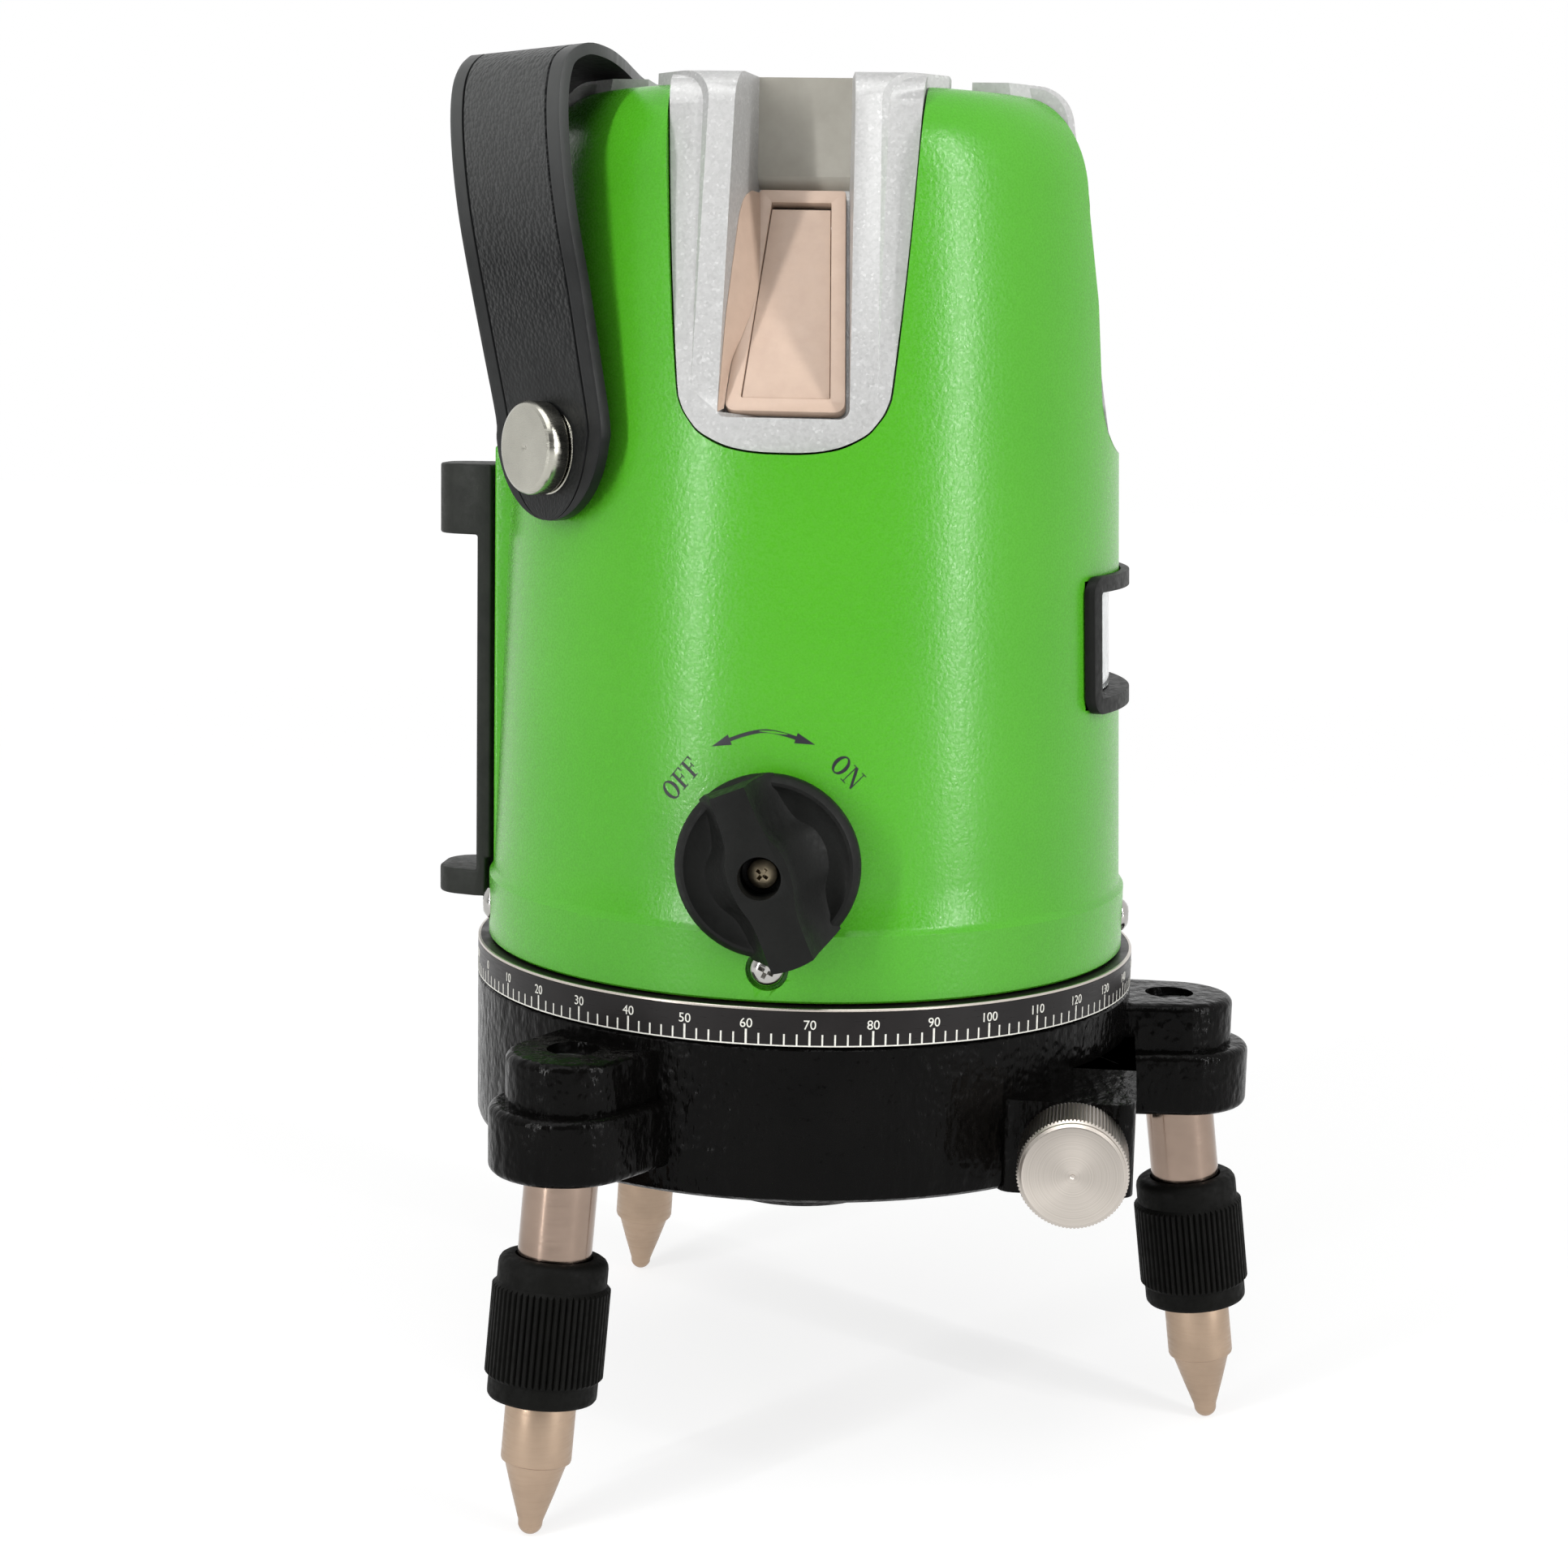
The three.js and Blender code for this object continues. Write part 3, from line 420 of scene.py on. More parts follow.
def surfaceCoords(material, stretch=(1, 1, 1), source="Object", centre=(0, 0, 0), tilt=(0, 0, 0)):
    tree = material.node_tree
    coords = tree.nodes.new("ShaderNodeTexCoord")
    mapping = tree.nodes.new("ShaderNodeMapping")
    mapping.vector_type = "TEXTURE"
    mapping.inputs["Location"].default_value = centre
    mapping.inputs["Rotation"].default_value = tilt
    mapping.inputs["Scale"].default_value = [1 / s for s in stretch]
    tree.links.new(coords.outputs[source], mapping.inputs["Vector"])
    return mapping.outputs["Vector"]


def noiseOn(material, coords, scale, detail=3.0, rough=0.6):
    noise = material.node_tree.nodes.new("ShaderNodeTexNoise")
    noise.inputs["Scale"].default_value = scale
    noise.inputs["Detail"].default_value = detail
    noise.inputs["Roughness"].default_value = rough
    material.node_tree.links.new(coords, noise.inputs["Vector"])
    return noise.outputs["Fac"]


def cellsOn(material, coords, scale, feature="F1", output="Distance"):
    cells = material.node_tree.nodes.new("ShaderNodeTexVoronoi")
    cells.feature = feature
    cells.inputs["Scale"].default_value = scale
    material.node_tree.links.new(coords, cells.inputs["Vector"])
    return cells.outputs[output]


def blendColours(material, amount, stops):
    ramp = material.node_tree.nodes.new("ShaderNodeValToRGB")
    ramp.color_ramp.elements[0].position = stops[0][0]
    ramp.color_ramp.elements[0].color = (*stops[0][1], 1)
    ramp.color_ramp.elements[1].position = stops[-1][0]
    ramp.color_ramp.elements[1].color = (*stops[-1][1], 1)
    for place, colour in stops[1:-1]:
        ramp.color_ramp.elements.new(place).color = (*colour, 1)
    link = material.node_tree.links.new
    link(amount, ramp.inputs["Fac"])
    link(ramp.outputs["Color"], material.node_tree.nodes["Principled BSDF"].inputs["Base Color"])
    return ramp


def varyRoughness(material, amount, low, high, start=0.3, end=0.7):
    spread = material.node_tree.nodes.new("ShaderNodeMapRange")
    spread.inputs["From Min"].default_value = start
    spread.inputs["From Max"].default_value = end
    spread.inputs["To Min"].default_value = low
    spread.inputs["To Max"].default_value = high
    link = material.node_tree.links.new
    link(amount, spread.inputs["Value"])
    link(spread.outputs["Result"], material.node_tree.nodes["Principled BSDF"].inputs["Roughness"])


def raiseSurface(material, height, distance, strength=1.0, under=None):
    bump = material.node_tree.nodes.new("ShaderNodeBump")
    bump.inputs["Strength"].default_value = strength
    bump.inputs["Distance"].default_value = distance * mm
    link = material.node_tree.links.new
    link(height, bump.inputs["Height"])
    if under:
        link(under.outputs["Normal"], bump.inputs["Normal"])
    link(bump.outputs["Normal"], material.node_tree.nodes["Principled BSDF"].inputs["Normal"])
    return bump


def greenPaint():
    # gloss lime paint with a fine metal flake that breaks up its highlights
    paint = startFinish("green paint", (0.071, 0.372, 0.013), 0.12, Specular_IOR_Level=0.42)
    place = surfaceCoords(paint)
    blendColours(paint, noiseOn(paint, place, 14, 2), [(0.35, (0.064, 0.352, 0.0115)), (0.65, (0.079, 0.39, 0.016))])
    varyRoughness(paint, noiseOn(paint, place, 2600, 1), 0.2, 0.36)
    swell = raiseSurface(paint, noiseOn(paint, place, 420, 2), 0.05, 0.25)
    raiseSurface(paint, noiseOn(paint, place, 1500, 2, 0.5), 0.05, 1.0, under=swell)
    return paint


def silverPaint():
    silver = startFinish("silver paint", (0.5, 0.5, 0.5), 0.45, 0.4)
    place = surfaceCoords(silver)
    blendColours(silver, cellsOn(silver, place, 2600, output="Color"),
                 [(0.0, (0.43, 0.43, 0.425)), (0.8, (0.5, 0.5, 0.495)), (1.0, (0.62, 0.62, 0.615))])
    varyRoughness(silver, noiseOn(silver, place, 1700, 2), 0.38, 0.56)
    raiseSurface(silver, noiseOn(silver, place, 2100, 2), 0.04, 0.35)
    return silver


# a darker, warmer copy of the silver paint for the back wall of the channel: painted shade in the recess
def channelGrey():
    grey = startFinish("channel painted shade", (0.36, 0.345, 0.3), 0.45, 0.3)
    place = surfaceCoords(grey)
    blendColours(grey, noiseOn(grey, place, 160, 4), [(0.3, (0.34, 0.325, 0.28)), (0.7, (0.4, 0.385, 0.34))])
    raiseSurface(grey, noiseOn(grey, place, 1900, 2), 0.03, 0.4)
    return grey


def tanWindow(name, shade):
    tan = startFinish(name, tuple(shade * c for c in (0.62, 0.45, 0.35)), 0.42)
    place = surfaceCoords(tan)
    light = tuple(shade * c for c in (0.64, 0.475, 0.37))
    dark = tuple(shade * c for c in (0.58, 0.425, 0.33))
    blendColours(tan, noiseOn(tan, place, 300, 4), [(0.3, dark), (0.7, light)])
    varyRoughness(tan, noiseOn(tan, place, 700, 2), 0.36, 0.5)
    raiseSurface(tan, noiseOn(tan, place, 1600, 2), 0.02, 0.3)
    return tan


def blackPlastic(name="black plastic", shade=1.0):
    plastic = startFinish(name, (0.005 * shade,) * 3, 0.46, Specular_IOR_Level=0.17)
    place = surfaceCoords(plastic)
    blendColours(plastic, noiseOn(plastic, place, 220, 4), [
        (0.3, (0.0046 * shade, 0.0049 * shade, 0.0044 * shade)),
        (0.7, (0.0066 * shade, 0.007 * shade, 0.0062 * shade)),
    ])
    varyRoughness(plastic, noiseOn(plastic, place, 900, 2), 0.42, 0.6)
    raiseSurface(plastic, noiseOn(plastic, place, 2400, 2), 0.05, 0.5)
    return plastic


def cracklePaint():
    # thick black stove paint, glossy, drawn up into small lumps
    paint = startFinish("crackle paint", (0.002, 0.0018, 0.0017), 0.16, Specular_IOR_Level=0.07)
    place = surfaceCoords(paint)
    blendColours(paint, noiseOn(paint, place, 90, 3), [(0.3, (0.0015, 0.0014, 0.0013)), (0.7, (0.0028, 0.0026, 0.0024))])
    upright = surfaceCoords(paint, (1, 1, 0.42))
    swell = raiseSurface(paint, noiseOn(paint, upright, 420, 3, 0.55), 0.5, 0.8)
    raiseSurface(paint, cellsOn(paint, place, 760, "SMOOTH_F1"), 0.22, 0.7, under=swell)
    varyRoughness(paint, noiseOn(paint, place, 500, 2), 0.12, 0.3)
    return paint


def ribRubber():
    rubber = startFinish("rib rubber", (0.0028, 0.0028, 0.0022), 0.55, Specular_IOR_Level=0.1)
    place = surfaceCoords(rubber)
    blendColours(rubber, noiseOn(rubber, place, 260, 3), [(0.3, (0.0022, 0.0022, 0.0018)), (0.7, (0.0036, 0.0036, 0.003))])
    varyRoughness(rubber, noiseOn(rubber, place, 800, 2), 0.5, 0.75)
    raiseSurface(rubber, noiseOn(rubber, place, 1500, 3), 0.05, 0.4)
    return rubber


def nickelPlate(name, colour, rough):
    nickel = startFinish(name, colour, rough, 1.0)
    place = surfaceCoords(nickel)
    light = tuple(min(1, c * 1.08) for c in colour)
    dark = tuple(c * 0.9 for c in colour)
    blendColours(nickel, noiseOn(nickel, place, 120, 3), [(0.3, dark), (0.7, light)])
    varyRoughness(nickel, noiseOn(nickel, surfaceCoords(nickel, (1, 1, 14)), 150, 3), rough * 0.8, rough * 1.5)
    raiseSurface(nickel, noiseOn(nickel, surfaceCoords(nickel, (1, 1, 12)), 220, 3), 0.01, 0.3)
    return nickel


def spunAluminium(centre):
    # fine rings left by facing it on a lathe, round a centre line along Y
    metal = startFinish("spun aluminium", (0.55, 0.5, 0.45), 0.3, 1.0, Anisotropic=0.75)
    tree = metal.node_tree
    link = tree.links.new
    fromCentre = tree.nodes.new("ShaderNodeVectorMath")
    fromCentre.operation = "MULTIPLY"
    fromCentre.inputs[1].default_value = (1, 0, 1)
    link(surfaceCoords(metal, centre=centre), fromCentre.inputs[0])
    radius = tree.nodes.new("ShaderNodeVectorMath")
    radius.operation = "LENGTH"
    link(fromCentre.outputs["Vector"], radius.inputs[0])
    rings = tree.nodes.new("ShaderNodeTexNoise")
    rings.noise_dimensions = "1D"
    rings.inputs["Scale"].default_value = 5200
    rings.inputs["Detail"].default_value = 2
    link(radius.outputs["Value"], rings.inputs["W"])
    blendColours(metal, rings.outputs["Fac"], [(0.3, (0.52, 0.475, 0.425)), (0.7, (0.6, 0.55, 0.5))])
    raiseSurface(metal, rings.outputs["Fac"], 0.006, 0.5)
    around = tree.nodes.new("ShaderNodeVectorMath")
    around.operation = "CROSS_PRODUCT"
    around.inputs[1].default_value = (0, 1, 0)
    link(fromCentre.outputs["Vector"], around.inputs[0])
    inWorld = tree.nodes.new("ShaderNodeVectorTransform")
    inWorld.vector_type = "VECTOR"
    inWorld.convert_from = "OBJECT"
    inWorld.convert_to = "WORLD"
    link(around.outputs["Vector"], inWorld.inputs[0])
    link(inWorld.outputs[0], tree.nodes["Principled BSDF"].inputs["Tangent"])
    return metal


def castMetal(name, colour, rough=0.45, metallic=1.0):
    metal = startFinish(name, colour, rough, metallic)
    place = surfaceCoords(metal)
    light = tuple(min(1, c * 1.15) for c in colour)
    dark = tuple(c * 0.8 for c in colour)
    blendColours(metal, noiseOn(metal, place, 200, 4), [(0.3, dark), (0.7, light)])
    varyRoughness(metal, noiseOn(metal, place, 600, 3), rough * 0.75, rough * 1.3)
    raiseSurface(metal, noiseOn(metal, place, 900, 3), 0.05, 0.4)
    return metal


def dialPaint():
    paint = startFinish("dial paint", (0.01, 0.0085, 0.0085), 0.34, Specular_IOR_Level=0.2)
    place = surfaceCoords(paint)
    blendColours(paint, noiseOn(paint, place, 150, 3), [(0.3, (0.0085, 0.0072, 0.0072)), (0.7, (0.0125, 0.0105, 0.0105))])
    varyRoughness(paint, noiseOn(paint, surfaceCoords(paint, (1, 1, 20)), 260, 3), 0.26, 0.42)
    return paint


def printInk(name, colour):
    ink = startFinish(name, colour, 0.5)
    light = tuple(min(1, c * 1.08 + 0.002) for c in colour)
    dark = tuple(c * 0.9 for c in colour)
    blendColours(ink, noiseOn(ink, surfaceCoords(ink), 1800, 2), [(0.3, dark), (0.7, light)])
    return ink


def clearGlass(name, colour, rough=0.03, through=0.85):
    glass = startFinish(name, colour, rough, IOR=1.47, Transmission_Weight=through)
    varyRoughness(glass, noiseOn(glass, surfaceCoords(glass), 90, 2), rough * 0.6, rough * 1.6)
    return glass


def leather():
    # pebbled between the creases and pressed smooth along the edges, on the strap's own map
    hide = startFinish("leather", (0.008, 0.0085, 0.0087), 0.4, Specular_IOR_Level=0.16)
    tree = hide.node_tree
    link = tree.links.new
    place = surfaceCoords(hide, (0.029, 0.215, 1), "UV")
    split = tree.nodes.new("ShaderNodeSeparateXYZ")
    link(tree.nodes["Texture Coordinate"].outputs["UV"], split.inputs[0])
    off = tree.nodes.new("ShaderNodeMath")
    off.operation = "SUBTRACT"
    off.inputs[1].default_value = 0.5
    link(split.outputs["X"], off.inputs[0])
    side = tree.nodes.new("ShaderNodeMath")
    side.operation = "ABSOLUTE"
    link(off.outputs[0], side.inputs[0])
    middle = tree.nodes.new("ShaderNodeMapRange")
    middle.inputs["From Min"].default_value = 0.385
    middle.inputs["From Max"].default_value = 0.37
    middle.inputs["To Max"].default_value = -1  # each lump rises towards its middle
    link(side.outputs[0], middle.inputs["Value"])
    half = tree.nodes.new("ShaderNodeMath")
    half.operation = "PINGPONG"
    half.inputs[1].default_value = 0.5
    link(split.outputs["Y"], half.inputs[0])
    upper = tree.nodes.new("ShaderNodeMapRange")
    upper.inputs["From Min"].default_value = 0.1
    upper.inputs["From Max"].default_value = 0.24
    upper.inputs["To Min"].default_value = 0.12
    link(half.outputs[0], upper.inputs["Value"])
    pebbled = tree.nodes.new("ShaderNodeMath")
    pebbled.operation = "MULTIPLY"
    link(middle.outputs["Result"], pebbled.inputs[0])
    link(upper.outputs["Result"], pebbled.inputs[1])
    kept = tree.nodes.new("ShaderNodeMath")
    kept.operation = "MULTIPLY"
    link(cellsOn(hide, place, 1300), kept.inputs[0])
    link(pebbled.outputs[0], kept.inputs[1])
    # painted sheen: the strap's colour lightens across its top stretch, standing in for a lamp's reflection there, not
    # for wear
    paintedSheen = tree.nodes.new("ShaderNodeMapRange")
    paintedSheen.inputs["From Min"].default_value = 0.19
    paintedSheen.inputs["From Max"].default_value = 0.31
    paintedSheen.inputs["To Max"].default_value = 0.8
    link(half.outputs[0], paintedSheen.inputs["Value"])
    shade = tree.nodes.new("ShaderNodeMath")
    shade.operation = "MULTIPLY_ADD"
    shade.inputs[1].default_value = 0.25
    link(noiseOn(hide, place, 160, 4), shade.inputs[0])
    link(paintedSheen.outputs["Result"], shade.inputs[2])
    # the colour goes black along each crease line
    creaseBlack = tree.nodes.new("ShaderNodeMapRange")
    fromCrease = tree.nodes.new("ShaderNodeMath")
    fromCrease.operation = "COMPARE"
    fromCrease.inputs[1].default_value = 0.379
    fromCrease.inputs[2].default_value = 0.011
    link(side.outputs[0], fromCrease.inputs[0])
    creaseBlack.inputs["To Min"].default_value = 1
    creaseBlack.inputs["To Max"].default_value = 0
    link(fromCrease.outputs[0], creaseBlack.inputs["Value"])
    # a random tone plus the painted sheen at the top, black along the creases
    toneSheenAndCreases = tree.nodes.new("ShaderNodeMath")
    toneSheenAndCreases.operation = "MULTIPLY"
    link(shade.outputs[0], toneSheenAndCreases.inputs[0])
    link(creaseBlack.outputs["Result"], toneSheenAndCreases.inputs[1])
    blendColours(hide, toneSheenAndCreases.outputs[0], [(0.05, (0.005, 0.0055, 0.0057)), (0.95, (0.06, 0.062, 0.061))])
    varyRoughness(hide, noiseOn(hide, place, 500, 3), 0.3, 0.44)
    grain = raiseSurface(hide, noiseOn(hide, place, 2600, 2), 0.03, 0.5)
    raiseSurface(hide, kept.outputs[0], 0.4, 1.0, under=grain)
    return hide


def strapLining():
    lining = startFinish("strap lining", (0.012, 0.0125, 0.0125), 0.8, Specular_IOR_Level=0.1)
    place = surfaceCoords(lining)
    blendColours(lining, noiseOn(lining, place, 300, 3), [(0.3, (0.01, 0.0105, 0.0105)), (0.7, (0.016, 0.0165, 0.0165))])
    varyRoughness(lining, noiseOn(lining, place, 800, 2), 0.72, 0.9)
    raiseSurface(lining, noiseOn(lining, place, 1800, 3), 0.04, 0.4)
    return lining


finish = {
    "green": greenPaint(),
    "silver": silverPaint(),
    "channel": channelGrey(),
    "frame": tanWindow("tan frame", 0.83),
    "pane": tanWindow("tan pane", 0.8),
    "plastic": blackPlastic(),
    "crackle": cracklePaint(),
    "rubber": ribRubber(),
    "leather": leather(),
    "lining": strapLining(),
    "nickel": nickelPlate("nickel plate", (0.45, 0.44, 0.385), 0.22),
    "legNickel": nickelPlate("leg plate", (0.3, 0.225, 0.18), 0.14),
    "footSteel": nickelPlate("foot plate", (0.43, 0.32, 0.235), 0.34),
    "chrome": nickelPlate("chrome plate", (0.45, 0.44, 0.42), 0.14),
    "aluminium": spunAluminium((0.03922, 0, 0.0587)),
    "bracketPlastic": blackPlastic("bracket plastic", 4.0),
    "steel": castMetal("turned steel", (0.4, 0.4, 0.41), 0.3),
    "zinc": castMetal("cast zinc", (0.3, 0.31, 0.32)),
    "brass": castMetal("brass", (0.46, 0.33, 0.14), 0.32),
    "dullBrass": castMetal("dull brass", (0.3, 0.25, 0.17), 0.38),
    "dial": dialPaint(),
    "whiteInk": printInk("white ink", (0.75, 0.74, 0.68)),
    "blackInk": printInk("black ink", (0.006, 0.005, 0.012)),
    "glass": clearGlass("clear glass", (0.93, 0.96, 0.96)),
    "yellowGlass": clearGlass("yellow glass", (0.8, 0.9, 0.15), 0.03, 0.7),
    "board": castMetal("circuit board", (0.012, 0.13, 0.04), 0.4, 0.0),
}
nodeFinish = {
    "green_paint": "green", "silver_plastic": "silver", "tan_window": "frame", "black_plastic": "plastic",
    "black_paint": "crackle", "black_rubber": "rubber", "leather": "leather", "nickel": "nickel",
    "aluminium": "aluminium", "brass": "brass", "steel": "steel", "zinc": "zinc", "clear_glass": "glass",
    "yellow_glass": "yellowGlass", "circuit_green": "board", "dial_black": "dial",
}
for part in frame["record"]["subparts"]:
    node = nodes[part["node"]]
    node.data.materials.clear()
    node.data.materials.append(finish[nodeFinish[part["material_slot"]]])
print("finishes are made and every node has one")


# carrying strap, a grid laid along its way and given its thickness

strap = {
    "width": 29,
    "thick": 1.7,
    "tip": 152.8,
    "tabRadial": 52.9,
    "columns": [0, 1.9, 3.8, 5.7, 7.5, 9.2, 10.35, 10.75, 11.0, 11.25, 11.65, 12.7, 13.7, 14.5],
    "crease": 11.0,
    "creaseDepth": 0.6,
    "edge": 0.5,
    "inside": (-15, 0, 180),  # the lined side faces this place
    # middle of the outer face from the front stud upwards, and the way its width points
    "way": [
        (-37.4, -37.4, 168, -45), (-39.2, -37.4, 178, -44), (-41.2, -37, 188.5, -43), (-43.2, -36, 198, -43),
        (-44.5, -34.9, 206, -43), (-45.2, -33.9, 213.5, -43), (-45, -33.3, 218.8, -43), (-44.1, -32.1, 222, -43),
        (-42.4, -29.6, 223.8, -40), (-41.7, -25, 223.8, -32), (-42.3, -18, 223.3, -21), (-43.3, -9, 222.8, -10),
    ],
    "middle": (-43.8, 0, 222.5, 0),
}
stud = {"azimuths": {"front": -45, "rear": -135}, "height": 163.9, "disc": 7.15, "face": 57, "neck": 2.5}


def outwardPeg(name, radius, near, far, height, azimuth, sides=48):
    piece = peg(name, radius, near, far, sides)
    return moveBy(piece, turn(azimuth) @ shift(0, 0, height) @ toFront())


def strapStations():
    half = strap["width"] / 2
    tab = strap["tabRadial"] * math.sqrt(0.5)
    front = []
    for degrees in (4, 12, 21, 31, 42, 54, 67, 80):
        reach = half * (1 - math.cos(math.radians(degrees)))
        front.append((-tab, -tab, strap["tip"] + reach, -45, half * math.sin(math.radians(degrees))))
    front += [(*place, half) for place in strap["way"]]
    rear = [(x, -y, z, -width, reach) for x, y, z, width, reach in reversed(front)]
    return roundLine([*front, (*strap["middle"], half), *rear], 4)


def layOnWay(sheet, stations, columns):
    # moves the sheet's rows and columns of points to their places on the way
    inwards = []
    rows, across = len(stations) - 1, len(columns) - 1
    lengths = [0.0]
    for before, after in zip(stations, stations[1:]):
        lengths.append(lengths[-1] + (Vector(after[:3]) - Vector(before[:3])).length)
    for point in sheet.data.vertices:
        column = round((point.co.x + 0.5) * across)
        row = round((point.co.y + 0.5) * rows)
        x, y, z, width, half = stations[row]
        along = Vector(stations[min(row + 1, rows)][:3]) - Vector(stations[max(row - 1, 0)][:3])
        along.normalize()
        angle = math.radians(width)
        side = Vector((math.cos(angle), math.sin(angle), 0))
        inwards.append(along.cross(side).normalized())
        share = columns[column] / columns[-1]
        point.co = (Vector((x, y, z)) + side * share * half) * mm
    layer = sheet.data.uv_layers.active
    for face in sheet.data.polygons:
        for corner in face.loop_indices:
            u, v = layer.data[corner].uv
            column, row = round(u * across), round(v * rows)
            share = columns[column] / columns[-1]
            layer.data[corner].uv = (0.5 + 0.5 * share, lengths[row] / lengths[-1])
    return inwards


def makeStrap():
    stations = strapStations()
    right = strap["columns"]
    columns = [-c for c in reversed(right[1:])] + right
    rows, across = len(stations) - 1, len(columns) - 1
    clearSelection()
    bpy.ops.mesh.primitive_grid_add(x_subdivisions=across, y_subdivisions=rows, size=1, calc_uvs=True)
    sheet = nameIt(bpy.context.object, "strap")
    inwards = layOnWay(sheet, stations, columns)
    middleFace = sheet.data.polygons[len(sheet.data.polygons) // 2]
    if middleFace.normal.dot(inwards[middleFace.vertices[0]]) > 0:
        sheet.data.flip_normals()
    creases = [i for i, point in enumerate(sheet.data.vertices)
               if abs(abs(columns[i % len(columns)]) - strap["crease"]) < 0.05]
    pick(sheet)
    body = sheet.modifiers.new("thickness", "SOLIDIFY")
    body.thickness = strap["thick"] * mm
    body.offset = -1
    bpy.ops.object.modifier_apply(modifier=body.name)
    for i in creases:
        sheet.data.vertices[i].co += inwards[i] * strap["creaseDepth"] * mm
    softEdges(sheet, strap["edge"], 3, 50)
    for azimuth in stud["azimuths"].values():
        combine(sheet, outwardPeg("hole", stud["neck"] + 0.3, 40, 60, stud["height"], azimuth))
    smooth(sheet, 40)
    inside = Vector(strap["inside"]) * mm
    for face in sheet.data.polygons:
        if face.normal.dot((inside - face.center).normalized()) > 0.55:
            face.material_index = 1
    return fit(sheet, "head", "leather", [finish["leather"], finish["lining"]], "carry_strap")


makeStrap()
print("strap made")


# studs that hold the strap

def makeStuds():
    face, disc, neck = stud["face"], stud["disc"], stud["neck"]
    button = turned("stud", [
        (0, 46), (neck, 46), (neck, 52.2), (3.4, 53.3), (disc - 0.7, 53.3), (disc - 0.2, 53.5), (disc, 54),
        (disc, face - 0.95), (disc - 0.12, face - 0.6), (disc - 0.4, face - 0.22), (disc - 0.85, face),
        (1.0, face - 0.02), (0.55, face - 0.06), (0.25, face - 0.22), (0, face - 0.3),
    ], 128)
    smooth(button, 25)
    collar = turned("collar", [
        (neck + 0.05, 53.0), (6.9, 53.0), (7.2, 52.85), (7.3, 52.6), (7.0, 52.45), (neck + 0.05, 52.45),
    ], 96)
    smooth(collar, 25)
    for place, azimuth in stud["azimuths"].items():
        for part, label in ((button, "strap_stud_top_"), (collar, "strap_stud_collar_")):
            piece = moveBy(copyPiece(part, label + place), turn(azimuth) @ shift(0, 0, stud["height"]) @ toFront())
            replaced = ["strap_stud_" + place] if part is button else []
            fit(piece, "head", "nickel", finish["nickel"], *replaced)
    bpy.data.objects.remove(button)
    bpy.data.objects.remove(collar)


makeStuds()
print("studs made")


# green shell of the head

shell = {
    "skirt": 53.2, "bottom": 82.55, "step": 93.5, "radius": 52.4, "draft": 0.0395, "shoulderStart": 188,
    "shoulder": {"radius": 37.5, "height": 203, "across": 9.6, "rise": 15.5},
    "wall": 2.4, "topInside": 213.7, "seatRadius": 24.9, "seat": 216.1, "hole": 22.8, "steps": 180,
}
pad = {"face": 52.1, "halfWidth": 8, "bottom": 92, "top": 163}
housing = {
    "inner": 25, "bottom": 164.4, "front": 48.3, "frontSlope": 0.172, "top": 219.8, "corner": 5.5,
    "raisedFront": 40.6, "raisedSlope": 0.149, "raisedAt": 214.8, "raisedTop": 220.3,
    "raisedHalf": 12.92, "raisedSpread": 0.0517, "facet": 1.5,
    "channelFloor": 26.7, "channelBottom": 169.4, "channelHalf": 7.1, "channelDraft": 0.133,
    "channelCorner": 1.5, "gap": 0.3, "above": 232, "beyond": 60,
}
shellScrew = {"azimuths": {"front": 0, "right": 90, "rear": 180, "left": 284}, "height": 87.6, "head": 2.65, "hole": 1.9, "recess": 3.25, "recessFloor": 51.6}
sideWindow = {"halfWidth": 23.4, "bottom": 123.8, "top": 145.5, "bar": 2.5, "proud": 1.7, "corner": 3}
knob = {"height": 103.7, "radius": 13.9, "back": 53.7, "face": 65, "lean": 22, "hole": 4.4}


def bodyRadius(z):
    return shell["radius"] - shell["draft"] * (z - shell["step"])


def bodyRows(start, end, rows, inset=0.0):
    heights = [start + (end - start) * i / rows for i in range(rows + 1)]
    return [(bodyRadius(z) - inset, z) for z in heights]


def housingSide(grow):
    return [
        (3, 164.45 - grow), (6, 164.75 - grow), (9 + grow / 2, 165.5 - grow), (12 + grow, 167 - grow / 2),
        (13.6 + grow, 168.5), (15.3 + grow, 171.3), (16.1 + grow, 176), (17.8 + grow, 197), (19.5 + grow, 230),
    ]


def housingOutline(grow):
    side = housingSide(grow)
    left = [(-x, z) for x, z in reversed(side)]
    return [(x, z) for x, z in roundLine([*left, (0, housing["bottom"] - grow), *side], 4)]


